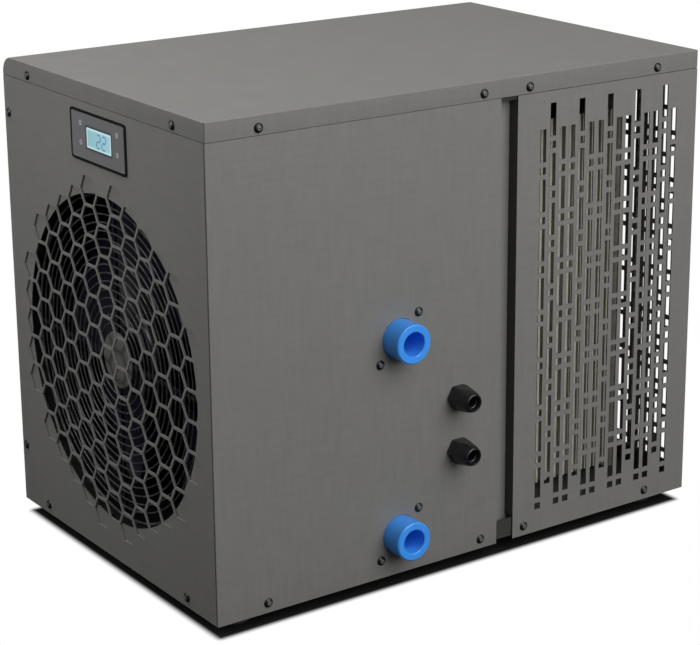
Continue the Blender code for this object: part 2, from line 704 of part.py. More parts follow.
def fan_motor(rotor_x):
    """The motor behind the fan, its plate, and the two rails that carry the plate."""
    face = rotor_x + ROTOR_HUB_DEPTH + MOTOR_CLEARANCE
    origin = place(face, FAN_FROM_FRONT, FAN_HEIGHT)
    bore = SHAFT_RADIUS + GAP
    profile = [
        (BORE_DEPTH, 0),
        (BORE_DEPTH, bore),
        (0, bore),
        (0, MOTOR_BOSS_RADIUS),
        (MOTOR_BOSS_LENGTH, MOTOR_BOSS_RADIUS),
        (MOTOR_BOSS_LENGTH, MOTOR_RADIUS - MOTOR_EDGE),
        (MOTOR_BOSS_LENGTH + MOTOR_EDGE, MOTOR_RADIUS),
        (MOTOR_BOSS_LENGTH + MOTOR_LENGTH, MOTOR_RADIUS),
        (MOTOR_BOSS_LENGTH + MOTOR_LENGTH, 0),
    ]
    turned("fan_motor", profile, origin, (1, 0, 0), MOTOR_SIDES, DARK_STEEL)
    plate_x = face + MOTOR_BOSS_LENGTH + MOTOR_PLATE_SETBACK
    centre = (FAN_FROM_FRONT, FAN_HEIGHT)
    outer = rectangle_loop(centre, MOTOR_PLATE_WIDTH, MOTOR_PLATE_HEIGHT)
    hole = circle_loop(centre, MOTOR_RADIUS + GAP, MOTOR_SIDES)
    flat_plate("motor_plate", [outer, hole], plate_x, MOTOR_PLATE_THICKNESS, GALVANISED)
    rail_x = plate_x + MOTOR_PLATE_THICKNESS + GAP
    for side, sign in (("front", -1), ("back", 1)):
        y = FAN_FROM_FRONT + sign * (MOTOR_PLATE_WIDTH / 2 - RAIL_WIDTH / 2)
        plan = [
            (rail_x + RAIL_DEPTH, y - RAIL_WIDTH / 2),
            (rail_x, y - RAIL_WIDTH / 2),
            (rail_x, y + RAIL_WIDTH / 2),
            (rail_x + RAIL_DEPTH, y + RAIL_WIDTH / 2),
        ]
        upright(f"motor_rail_{side}", plan, RAIL_SHEET, GALVANISED)


def upright(name, plan, thickness, finish, low=None, high=None):
    """A folded upright from the pan's floor to the lid's underside."""
    low = PAN_FLOOR + GAP if low is None else low
    high = LID_UNDERSIDE - GAP if high is None else high
    bm = bmesh.new()
    for (x0, y0), (x1, y1) in zip(plan, plan[1:]):
        corners = [place(x0, y0, low), place(x1, y1, low), place(x1, y1, high), place(x0, y0, high)]
        bm.faces.new([bm.verts.new(corner) for corner in corners])
    weld(bm)
    bm.faces.ensure_lookup_table()
    middle = sum((Vector((x, y)) for x, y in plan), Vector((0, 0))) / len(plan)
    face_away(bm, place(middle.x, middle.y, (low + high) / 2))
    obj = make_object(name, bm, finish)
    thicken(obj, thickness)
    return obj


def centre_post():
    """The post whose face is the bottom of the groove between the two front panels."""
    left = SERVICE_WIDTH - POST_LAP
    right = INTAKE_LEFT + POST_LAP
    front = GROOVE_DEPTH + GAP
    plan = [(left, front + POST_FLANGE), (left, front), (right, front), (right, front + POST_FLANGE)]
    upright("centre_post", plan, SHEET, GREY_PAINT)


def coil():
    """The evaporator: a fin block between two end plates."""
    left = INTAKE_LEFT + POST_LAP + GAP
    low = PAN_FLOOR + COIL_LIFT
    high = PANEL_BOTTOM + COIL_TOP_ABOVE_EDGE
    front = COIL_FROM_FRONT
    back = front + COIL_DEPTH
    first = left + SHEET + GAP
    last = COIL_END
    fins = int((last - first - FIN_THICKNESS) / FIN_PITCH) + 1
    margin = (last - first - FIN_THICKNESS - FIN_PITCH * (fins - 1)) / 2
    comb = [(last, back), (first, back)]
    core = front + FIN_DEPTH
    for fin in range(fins):
        x = first + margin + FIN_PITCH * fin
        if fin == 0:
            comb.append((first, core))
        comb += [(x, core), (x, front), (x + FIN_THICKNESS, front), (x + FIN_THICKNESS, core)]
    comb.append((last, core))
    bm = bmesh.new()
    fill_loops(bm, [[place(x, y, low) for x, y in comb]])
    solid = bmesh.ops.extrude_face_region(bm, geom=bm.faces[:])
    raised = [part for part in solid["geom"] if isinstance(part, bmesh.types.BMVert)]
    bmesh.ops.translate(bm, verts=raised, vec=(0, 0, high - low))
    weld(bm)
    bmesh.ops.recalc_face_normals(bm, faces=bm.faces)
    make_object("coil_fins", bm, FIN_METAL)
    top = high + COIL_PLATE_RISE
    post_back = GROOVE_DEPTH + GAP
    wrap = back + SHEET + GAP
    plate = [(left, post_back), (left, wrap), (left + COIL_FLANGE, wrap)]
    upright("coil_plate_left", plate, SHEET, GALVANISED, high=top)
    x = last + GAP
    flange = COIL_FLANGE
    plate = [(x + flange, front), (x, front), (x, back), (x + flange, back)]
    end_plate = upright("coil_plate_right", plate, SHEET, GALVANISED, high=top)
    cut(end_plate, return_bends(x, (front + back) / 2, low, high), "UNION")


def return_bends(x, y, low, high):
    """The tube bends that stand out of the right end plate, one over the other."""
    bm = bmesh.new()
    radius = TUBE_PITCH / 2
    bends = int((high - low) / (2 * TUBE_PITCH))
    first = (low + high) / 2 - (bends - 0.5) * TUBE_PITCH
    for index in range(bends):
        middle = first + (2 * index + 0.5) * TUBE_PITCH
        path = [((x + SHEET / 2, middle - radius), 0)]
        for step in range(TUBE_BEND_STEPS + 1):
            angle = math.pi * step / TUBE_BEND_STEPS
            spot = (x + SHEET + radius * math.sin(angle), middle - radius * math.cos(angle))
            path.append((spot, angle))
        path.append(((x + SHEET / 2, middle + radius), math.pi))
        rings = []
        for (along, height), angle in path:
            ring = []
            for across, outward in circle_loop((0, 0), TUBE_RADIUS, TUBE_SIDES):
                spot = place(along + outward * math.sin(angle), y + across,
                             height - outward * math.cos(angle))
                ring.append(bm.verts.new(spot))
            rings.append(ring)
        for near, far in zip(rings, rings[1:]):
            for i in range(TUBE_SIDES):
                j = (i + 1) % TUBE_SIDES
                bm.faces.new((near[i], near[j], far[j], far[i]))
        bm.faces.new(rings[0][::-1])
        bm.faces.new(rings[-1])
    bmesh.ops.recalc_face_normals(bm, faces=bm.faces)
    return make_object("bends_for_coil_plate", bm, GALVANISED)


def water_stubs():
    """The two water connections: plain tubes through the service panel."""
    profile = [
        (-STUB_INSIDE, STUB_BORE_RADIUS),
        (-STUB_INSIDE, STUB_RADIUS),
        (STUB_REACH, STUB_RADIUS),
        (STUB_REACH, STUB_BORE_RADIUS),
    ]
    for name, height in (("water_outlet", UPPER_STUB_ABOVE_EDGE),
                         ("water_inlet", LOWER_STUB_ABOVE_EDGE)):
        bm = bmesh.new()
        turn_profile(bm, profile, STUB_SIDES, closed=True)
        obj = make_object(name, bm, BLUE_PLASTIC, 40)
        spot = place(STUB_FROM_LEFT, 0, PANEL_BOTTOM + height)
        obj.matrix_world = Matrix.Translation(spot) @ Matrix.Rotation(math.radians(90), 4, "X")


def gland_hexagon(start, length):
    """A hexagon prism about Z, from a distance along it."""
    bm = bmesh.new()
    bmesh.ops.create_cone(bm, cap_ends=True, segments=6, radius1=GLAND_FLATS / math.sqrt(3),
                          radius2=GLAND_FLATS / math.sqrt(3), depth=length,
                          matrix=Matrix.Translation((0, 0, start + length / 2)))
    return bm


def cable_glands():
    """Two cable glands: a hexagon body with a shank through the panel, and a domed cap."""
    base = GAP + GLAND_HEX_LENGTH + GAP
    tip = base + GLAND_CAP_LENGTH
    shank_profile = [
        (-GLAND_SHANK_LENGTH, 0),
        (-GLAND_SHANK_LENGTH, GLAND_SHANK_RADIUS),
        (GAP + GLAND_HEX_LENGTH / 2, GLAND_SHANK_RADIUS),
        (GAP + GLAND_HEX_LENGTH / 2, 0),
    ]
    dome_profile = [
        (base + GLAND_CAP_HEX_LENGTH / 2, 0),
        (base + GLAND_CAP_HEX_LENGTH / 2, GLAND_DOME_RADIUS),
        (tip - GLAND_SHOULDER, GLAND_DOME_RADIUS),
        (tip - GLAND_EDGE, (GLAND_DOME_RADIUS + GLAND_MOUTH_RADIUS) / 2),
        (tip, GLAND_MOUTH_RADIUS),
        (tip, 0),
    ]
    past = GLAND_REACH + GLAND_SHANK_LENGTH
    bore_profile = [(-past, 0), (-past, GLAND_BORE_RADIUS), (past, GLAND_BORE_RADIUS), (past, 0)]
    for name, height in (("upper", UPPER_GLAND_ABOVE_EDGE), ("lower", LOWER_GLAND_ABOVE_EDGE)):
        spot = place(GLAND_FROM_LEFT, 0, PANEL_BOTTOM + height)
        stand = Matrix.Translation(spot) @ Matrix.Rotation(math.radians(90), 4, "X")
        turns = []
        for piece, profile in (("shank", shank_profile), ("dome", dome_profile),
                               ("bore", bore_profile)):
            bm = bmesh.new()
            turn_profile(bm, profile, GLAND_SIDES)
            turns.append(make_object(f"{piece}_for_gland_{name}", bm, BLACK_PLASTIC))
        shank, dome, bore = turns
        body = make_object(f"gland_body_{name}", gland_hexagon(GAP, GLAND_HEX_LENGTH), BLACK_PLASTIC)
        cap = make_object(f"gland_cap_{name}", gland_hexagon(base, GLAND_CAP_HEX_LENGTH),
                          BLACK_PLASTIC)
        for obj in (shank, dome, bore, body, cap):
            obj.matrix_world = stand
        cut(body, shank, "UNION")
        cut(body, bore)
        cut(cap, dome, "UNION")
        cut(cap, bore)


def display():
    """The display: a black box with a rim on the panel, a grey face in it and a lit window."""
    centre = (FAN_FROM_FRONT, PANEL_BOTTOM + DISPLAY_ABOVE_EDGE)
    front = -GAP - DISPLAY_RISE
    pocket_width = DISPLAY_WIDTH - 2 * DISPLAY_RIM
    pocket_height = DISPLAY_HEIGHT - 2 * DISPLAY_RIM
    face = rectangle_loop(centre, pocket_width - 2 * GAP, pocket_height - 2 * GAP)
    window = rectangle_loop(centre, LCD_WIDTH, LCD_HEIGHT)
    flat_plate("display_face", [face, window], front, DISPLAY_FACE_THICKNESS, DISPLAY_GREY)
    glass = rectangle_loop(centre, LCD_WIDTH - 2 * GAP, LCD_HEIGHT - 2 * GAP)
    flat_plate("display_window", [glass], front, DISPLAY_FACE_THICKNESS, LCD_GLASS)
    rim = rounded_loop(centre, DISPLAY_WIDTH, DISPLAY_HEIGHT, DISPLAY_CORNER)
    box = flat_plate("display_box", [rim], front, DISPLAY_RISE, BLACK_PLASTIC)
    body = rectangle_loop(centre, DISPLAY_WIDTH - 2 * DISPLAY_LAP - 2 * GAP,
                          DISPLAY_HEIGHT - 2 * DISPLAY_LAP - 2 * GAP)
    cut(box, flat_plate("body_for_display", [body], front + DISPLAY_RISE / 2, DISPLAY_BOX_DEPTH,
                        BLACK_PLASTIC), "UNION")
    pocket = rectangle_loop(centre, pocket_width, pocket_height)
    cut(box, flat_plate("pocket_for_display", [pocket], front - DISPLAY_RISE,
                        DISPLAY_RISE + DISPLAY_FACE_THICKNESS + GAP, BLACK_PLASTIC))


def lid_screws():
    """The low domed screw heads round the lid's flange, each sunk a little into the sheet."""
    height = LID_TOP - SCREW_FROM_EDGE
    columns = (SCREW_INSET, SERVICE_WIDTH - SCREW_BESIDE_GROOVE,
               INTAKE_LEFT + SCREW_BESIDE_INTAKE, CABINET_WIDTH - SCREW_INSET)
    ends = (SCREW_INSET, CABINET_DEPTH - SCREW_BACK_INSET)
    spots = [(place(x, 0, height), (0, -1, 0)) for x in columns]
    spots += [(place(x, CABINET_DEPTH, height), (0, 1, 0)) for x in columns]
    spots += [(place(0, y, height), (-1, 0, 0)) for y in ends]
    spots += [(place(CABINET_WIDTH, y, height), (1, 0, 0)) for y in ends]
    bm = bmesh.new()
    depth = SCREW_RISE + SHEET / 2
    for spot, direction in spots:
        axis = Vector(direction)
        middle = spot + axis * (SCREW_RISE - depth / 2)
        stand = Matrix.Translation(middle) @ axis.to_track_quat("Z", "Y").to_matrix().to_4x4()
        bmesh.ops.create_cone(bm, cap_ends=True, segments=SCREW_SIDES, radius1=SCREW_RADIUS,
                              radius2=SCREW_TOP_RADIUS, depth=depth, matrix=stand)
    return make_object("screws_for_lid", bm, BLACK_PLASTIC)


def main():
    """Clear the scene and build every piece."""
    for obj in list(bpy.data.objects):
        bpy.data.objects.remove(obj, do_unlink=True)
    base_pan()
    feet()
    lid()
    service_panel()
    intake_panel()
    end_panel()
    back_panel()
    fan_panel()
    fan_shroud()
    fan_guard()
    rotor_x = fan_rotor()
    fan_motor(rotor_x)
    centre_post()
    coil()
    water_stubs()
    cable_glands()
    display()


main()
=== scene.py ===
"""Pool heat pump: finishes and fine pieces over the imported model.

Run as a script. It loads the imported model, registers the operators below and calls them in order:
the finishes, the cabinet's sheets and lid, the screws, the fan outlet, the evaporator, the water
stubs, the cable glands, the feet, the display and the stage. Every place is in metres in the
model's own frame.
"""
import math

import bmesh
import bpy
from mathutils import Matrix, Vector


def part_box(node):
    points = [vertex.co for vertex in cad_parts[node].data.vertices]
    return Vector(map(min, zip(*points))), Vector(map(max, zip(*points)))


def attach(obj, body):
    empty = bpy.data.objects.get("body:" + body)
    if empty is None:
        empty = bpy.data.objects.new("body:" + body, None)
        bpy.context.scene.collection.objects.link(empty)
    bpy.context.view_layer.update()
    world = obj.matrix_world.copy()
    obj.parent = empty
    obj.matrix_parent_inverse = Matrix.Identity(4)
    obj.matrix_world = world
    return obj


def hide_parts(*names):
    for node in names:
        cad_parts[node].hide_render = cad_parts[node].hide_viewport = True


bl_info = {
    "name": "Pool Heat Pump",
    "version": (1, 0, 0),
    "blender": (4, 5, 0),
    "location": "View3D > Sidebar > Heat Pump",
    "description": "Finishes and fine pieces of a small pool heat pump",
    "category": "Object",
}

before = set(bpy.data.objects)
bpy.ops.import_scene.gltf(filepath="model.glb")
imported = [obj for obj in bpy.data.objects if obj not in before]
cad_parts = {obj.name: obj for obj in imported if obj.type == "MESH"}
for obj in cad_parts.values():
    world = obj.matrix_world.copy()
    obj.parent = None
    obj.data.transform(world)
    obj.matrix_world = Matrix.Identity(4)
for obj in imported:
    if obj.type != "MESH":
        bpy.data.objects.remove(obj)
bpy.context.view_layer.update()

# The cabinet's faces and edges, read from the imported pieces
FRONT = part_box("service_panel")[0].y
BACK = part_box("back_panel")[1].y
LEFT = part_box("fan_panel")[0].x
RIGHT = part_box("end_panel")[1].x
PANEL_BOTTOM, PANEL_TOP = (corner.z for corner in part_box("fan_panel"))
LID_BOTTOM, LID_TOP = (corner.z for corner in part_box("lid"))
GROOVE_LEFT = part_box("service_panel")[1].x
GROOVE_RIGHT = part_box("intake_panel")[0].x
GUARD_LOW, GUARD_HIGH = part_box("fan_guard")
GUARD_RADIUS = (GUARD_HIGH.z - GUARD_LOW.z) / 2
FAN_AXIS = (GUARD_LOW + GUARD_HIGH) / 2
CABINET_MIDDLE = Vector((0, (FRONT + BACK) / 2, LID_TOP / 2))
SHEET = 0.0012
STUBS = ("water_outlet", "water_inlet")
OUTWARD = {
    "front": Vector((0, -1, 0)),
    "back": Vector((0, 1, 0)),
    "left": Vector((-1, 0, 0)),
    "right": Vector((1, 0, 0)),
}

# The materials and the shared effects by their short names, filled by make_finishes
FINISHES = {}
EFFECTS = {}


# Meshes


def measure(node):
    """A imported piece's low corner, high corner and middle."""
    low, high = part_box(node)
    return low, high, (low + high) / 2


def link(name, data):
    """An object in the scene for a mesh, a camera or a lamp."""
    obj = bpy.data.objects.new(name, data)
    bpy.context.scene.collection.objects.link(obj)
    return obj


def link_mesh(name, bm):
    """An object in the scene for a mesh under way, which is freed."""
    mesh = bpy.data.meshes.new(name)
    bm.to_mesh(mesh)
    bm.free()
    return link(name, mesh)


def add_piece(name, bm, finish, body="cabinet", replaces=(), smooth=35.0):
    """Link a mesh as a piece that rides on a body, in its finish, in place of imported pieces."""
    piece = link_mesh(name, bm)
    piece.data.shade_smooth()
    piece.data.set_sharp_from_angle(angle=math.radians(smooth))
    piece.data.materials.append(FINISHES[finish])
    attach(piece, body)
    if replaces:
        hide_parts(*replaces)
    return piece


def give_thickness(piece, thickness):
    """Thicken a skin to the side away from its normals and keep its flats flat in shading."""
    sheet = piece.modifiers.new("sheet", "SOLIDIFY")
    sheet.thickness = thickness
    sheet.offset = -1
    sheet.use_even_offset = True
    sheet.use_quality_normals = True
    keep_flats(piece)


def keep_flats(piece):
    """Weight a piece's normals by face area, so that bends don't shade the flats beside them."""
    weighted = piece.modifiers.new("flats", "WEIGHTED_NORMAL")
    weighted.keep_sharp = True
    weighted.weight = 90


def break_edges(piece, width):
    """A small round along a piece's sharp edges."""
    bevel = piece.modifiers.new("edges", "BEVEL")
    bevel.width = width
    bevel.segments = 2
    bevel.limit_method = "ANGLE"
    bevel.angle_limit = math.radians(30)
    bevel.use_clamp_overlap = True
    keep_flats(piece)


def stand_at(point, direction):
    """A matrix whose Z axis points along a direction from a point."""
    turn = Vector(direction).to_track_quat("Z", "Y").to_matrix().to_4x4()
    return Matrix.Translation(point) @ turn


def soften(points, size, steps=4):
    """Round a profile's corners, each by at most 45 % of the shorter line beside it."""
    softened = [points[0]]
    for before, corner, after in zip(points, points[1:], points[2:]):
        before, corner, after = Vector(before), Vector(corner), Vector(after)
        room = min((corner - before).length, (after - corner).length) * 0.45
        reach = min(size, room)
        start = corner + (before - corner).normalized() * reach
        end = corner + (after - corner).normalized() * reach
        for step in range(steps + 1):
            t = step / steps
            softened.append(tuple(start * (1 - t) ** 2 + corner * 2 * t * (1 - t) + end * t * t))
    softened.append(points[-1])
    return softened


def lathe(bm, profile, stand, sides=64, flats=None, closed=False):
    """Turn a profile of (along, radius) about a stand's Z axis; flats cuts it to a hexagon."""
    rings = []
    for along, radius in profile:
        if radius < 1e-7:
            rings.append([bm.verts.new(stand @ Vector((0, 0, along)))])
            continue
        ring = []
        for i in range(sides):
            angle = 2 * math.pi * i / sides
            size = radius
            if flats:
                off = (angle + math.pi / 6) % (math.pi / 3) - math.pi / 6
                size = min(radius, flats / 2 / math.cos(off))
            spot = Vector((size * math.cos(angle), size * math.sin(angle), along))
            ring.append(bm.verts.new(stand @ spot))
        rings.append(ring)
    pairs = list(zip(rings, rings[1:]))
    if closed:
        pairs.append((rings[-1], rings[0]))
    for low, high in pairs:
        for i in range(sides):
            j = (i + 1) % sides
            corners = [low[i % len(low)], low[j % len(low)], high[j % len(high)], high[i % len(high)]]
            corners = list(dict.fromkeys(corners))
            if len(corners) > 2:
                bm.faces.new(corners)
    bmesh.ops.recalc_face_normals(bm, faces=bm.faces)


def turned_piece(name, profile, stand, sides, finish, slot, replaces=(), smooth=35.0, **cut):
    """A piece turned on the lathe."""
    bm = bmesh.new()
    lathe(bm, profile, stand, sides, **cut)
    add_piece(name, bm, finish, replaces=replaces, smooth=smooth)


def ring_loop(stand, radius, sides):
    """Points of a circle round a stand's Z axis."""
    angles = [2 * math.pi * i / sides for i in range(sides)]
    return [stand @ Vector((radius * math.cos(a), radius * math.sin(a), 0)) for a in angles]


def add_torus(bm, stand, radius, wire, sides=96, wire_sides=8):
    """A closed wire ring round a stand's Z axis."""
    angles = [2 * math.pi * i / wire_sides for i in range(wire_sides)]
    profile = [(wire * math.sin(a), radius + wire * math.cos(a)) for a in angles]
    ring = bmesh.new()
    lathe(ring, profile, stand, sides, closed=True)
    add_mesh(bm, ring)


def add_mesh(bm, other):
    """Add one mesh to another and free it."""
    mesh = bpy.data.meshes.new("added")
    other.to_mesh(mesh)
    other.free()
    bm.from_mesh(mesh)
    bpy.data.meshes.remove(mesh)


def add_skin(bm, rows, closed=False):
    """Faces between neighbouring rows of points; closed joins each row's ends too."""
    rows = [[bm.verts.new(point) for point in row] for row in rows]
    for near, far in zip(rows, rows[1:]):
        for i in range(len(near) if closed else len(near) - 1):
            j = (i + 1) % len(near)
            bm.faces.new((near[i], near[j], far[j], far[i]))
    return rows


def fill(bm, loops):
    """Fill a flat outline, leaving out the loops inside it."""
    edges = []
    for loop in loops:
        verts = [bm.verts.new(point) for point in loop]
        for start, end in zip(verts, verts[1:] + verts[:1]):
            edges.append(bm.edges.new((start, end)))
    bmesh.ops.triangle_fill(bm, edges=edges, use_beauty=True)


def plates(name, outlines, thickness, finish, replaces=()):
    """A piece of flat plates thickened along X; each has its outline first and then its holes."""
    bm = bmesh.new()
    for loops in outlines:
        plate = bmesh.new()
        fill(plate, loops)
        bmesh.ops.recalc_face_normals(plate, faces=plate.faces)
        solid = bmesh.ops.extrude_face_region(plate, geom=plate.faces[:])
        moved = [part for part in solid["geom"] if isinstance(part, bmesh.types.BMVert)]
        bmesh.ops.translate(plate, verts=moved, vec=(thickness, 0, 0))
        bmesh.ops.recalc_face_normals(plate, faces=plate.faces)
        add_mesh(bm, plate)
    return add_piece(name, bm, finish, replaces=replaces)


def rounded_rectangle(width, height, radius, steps=5):
    """Corners of a rounded rectangle round the middle, as (u, v)."""
    points = []
    for quarter, (su, sv) in enumerate(((1, 1), (-1, 1), (-1, -1), (1, -1))):
        centre = (su * (width / 2 - radius), sv * (height / 2 - radius))
        points += arc(centre, radius, 90 * quarter, 90 * quarter + 90, steps)
    return points


def arc(centre, radius, start, end, steps):
    """Points of an arc in a plane, from one angle to another, both in degrees."""
    angles = [math.radians(start + (end - start) * step / steps) for step in range(steps + 1)]
    return [(centre[0] + radius * math.cos(a), centre[1] + radius * math.sin(a)) for a in angles]


def face_out(bm, inside):
    """Point an open skin's faces away from a point inside it."""
    bmesh.ops.remove_doubles(bm, verts=bm.verts, dist=1e-6)
    bmesh.ops.recalc_face_normals(bm, faces=bm.faces)
    outward = sum(f.calc_area() * f.normal.dot(f.calc_center_median() - inside) for f in bm.faces)
    if outward < 0:
        bmesh.ops.reverse_faces(bm, faces=bm.faces)


def bent_sheet(name, plan, low, high, replaces=(), holes=(), notch=None, finish="paint",
               inside=CABINET_MIDDLE):
    """A sheet folded along upright lines; the first strip has the holes, a notch is under the rest."""
    bm = bmesh.new()
    levels = [low, high] if notch is None else [low, notch, high]
    for index, (start, end) in enumerate(zip(plan, plan[1:])):
        heights = levels[1:] if index and notch else levels
        if holes and not index:
            rim = [(*start, z) for z in heights] + [(*end, z) for z in reversed(heights)]
            fill(bm, [rim, *holes])
        else:
            add_skin(bm, [[(*start, z), (*end, z)] for z in heights])
    face_out(bm, inside)
    give_thickness(add_piece(name, bm, finish, replaces=replaces), SHEET)


# Shader nodes


def feed(tree, socket, value):
    """Link an output to a socket, or set the socket to a plain value."""
    if isinstance(value, bpy.types.NodeSocket):
        tree.links.new(value, socket)
    else:
        socket.default_value = value


def add_node(tree, kind, inputs, **settings):
    """A shader node with its settings; an input is named or numbered and is fed a value."""
    node = tree.nodes.new("ShaderNode" + kind)
    for label, value in settings.items():
        setattr(node, label, value)
    for label, value in inputs.items():
        feed(tree, node.inputs[label], value)
    return node


def math_node(tree, operation, first, second):
    """The outcome of a sum on two values."""
    return add_node(tree, "Math", {0: first, 1: second}, operation=operation).outputs[0]


def noise_node(tree, vector, scale, detail, roughness=0.5):
    """A noise over a vector."""
    inputs = {"Vector": vector, "Scale": scale, "Detail": detail, "Roughness": roughness}
    return add_node(tree, "TexNoise", inputs).outputs[0]


def mix_colour(tree, factor, first, second, blend="MIX"):
    """A colour between two colours, or their product with MULTIPLY."""
    inputs = {"Factor": factor, 6: first, 7: second}
    return add_node(tree, "Mix", inputs, data_type="RGBA", blend_type=blend).outputs[2]


def object_vector(tree, stretch=None):
    """Object coordinates, stretched by a vector."""
    place = add_node(tree, "TexCoord", {}).outputs["Object"]
    if stretch is None:
        return place
    return add_node(tree, "VectorMath", {0: place, 1: stretch}, operation="MULTIPLY").outputs[0]


def map_range(tree, value, start, end, low=0.0, high=1.0, curve="SMOOTHSTEP"):
    """Map a value from the span between start and end to the span between low and high."""
    inputs = {"Value": value, "From Min": start, "From Max": end, "To Min": low, "To Max": high}
    return add_node(tree, "MapRange", inputs, interpolation_type=curve).outputs["Result"]


def fade_along(tree, axis, start, end, low=0.0, high=1.0):
    """A value that runs from low to high between two places along an object axis."""
    place = add_node(tree, "SeparateXYZ", {0: object_vector(tree)}).outputs[axis]
    return map_range(tree, place, start, end, low, high, "LINEAR")


def box_distance(tree, centre, half):
    """The distance outside a flat box; an axis whose half size is large doesn't count."""
    last = object_vector(tree)
    zero = (0, 0, 0)
    for operation, value in (("SUBTRACT", centre), ("ABSOLUTE", zero), ("SUBTRACT", half),
                             ("MAXIMUM", zero)):
        last = add_node(tree, "VectorMath", {0: last, 1: value}, operation=operation).outputs[0]
    return add_node(tree, "VectorMath", {0: last}, operation="LENGTH").outputs["Value"]


def normal_parts(tree):
    """The surface normal's components."""
    normal = add_node(tree, "NewGeometry", {}).outputs["Normal"]
    return add_node(tree, "SeparateXYZ", {0: normal}).outputs


def painted_side_shade(tree, axis, dark):
    """A painted shade: dark on faces that look down an axis, and 1 on all others."""
    return map_range(tree, normal_parts(tree)[axis], -0.9, -0.5, dark, 1.0)


def painted_highlight_mask(tree):
    """A mask for a painted highlight: faces that look straight out of a side of the cabinet."""
    normal = normal_parts(tree)
    across, along = (math_node(tree, "ABSOLUTE", normal[axis], 0.0) for axis in "XY")
    return map_range(tree, math_node(tree, "MAXIMUM", across, along), 0.94, 0.985)


# Shared effects


def start_group(name, **inputs):
    """A shader node group with its numbers, and the sockets that give them."""
    group = bpy.data.node_groups.new(name, "ShaderNodeTree")
    for label, value in inputs.items():
        socket = group.interface.new_socket(label, in_out="INPUT", socket_type="NodeSocketFloat")
        socket.default_value = value
    return group, group.nodes.new("NodeGroupInput").outputs


def end_group(group, **outputs):
    """Give a group its outputs."""
    for label in outputs:
        group.interface.new_socket(label, in_out="OUTPUT", socket_type="NodeSocketFloat")
    last = group.nodes.new("NodeGroupOutput")
    for label, value in outputs.items():
        group.links.new(value, last.inputs[label])
    return group


def make_brushed_grain():
    """Fine crossed streaks and broad cloudiness, as a value round 1 and a height."""
    group, given = start_group("Brushed grain", Fineness=300.0, Streaks=0.05, Clouds=0.04)
    squeeze = 0.12
    upright = noise_node(group, object_vector(group, (1.0, 1.0, squeeze)), given["Fineness"], 3.0)
    level = noise_node(group, object_vector(group, (squeeze, squeeze, 1.0)), given["Fineness"], 3.0)
    both = math_node(group, "ADD", upright, level)
    streaks = math_node(group, "SUBTRACT", both, 1.0)
    streaks = math_node(group, "MULTIPLY", streaks, given["Streaks"])
    clouds = noise_node(group, object_vector(group), 14.0, 3.0)
    clouds = math_node(group, "SUBTRACT", clouds, 0.5)
    clouds = math_node(group, "MULTIPLY", clouds, given["Clouds"])
    shade = math_node(group, "ADD", math_node(group, "ADD", streaks, clouds), 1.0)
    fine = noise_node(group, object_vector(group), 900.0, 2.0)
    height = math_node(group, "ADD", math_node(group, "MULTIPLY", both, 0.5), fine)
    return end_group(group, Shade=shade, Height=height)


def make_moulded_skin():
    """The fine spark-eroded skin of moulded plastic and rubber, as a height and a gloss mask."""
    group, given = start_group("Moulded skin", Fineness=1200.0)
    fine = noise_node(group, object_vector(group), given["Fineness"], 2.0)
    broad = noise_node(group, object_vector(group), 60.0, 3.0)
    return end_group(group, Height=fine, Gloss=broad)


def make_settled_dust():
    """A mask of thin dust on faces that look up, broken by noise."""
    group, given = start_group("Settled dust", Amount=0.2)
    upward = math_node(group, "MAXIMUM", normal_parts(group)["Z"], 0.0)
    broken = noise_node(group, object_vector(group), 90.0, 4.0, 0.6)
    mask = math_node(group, "MULTIPLY", upward, broken)
    return end_group(group, Mask=math_node(group, "MULTIPLY", mask, given["Amount"]))


# Finishes


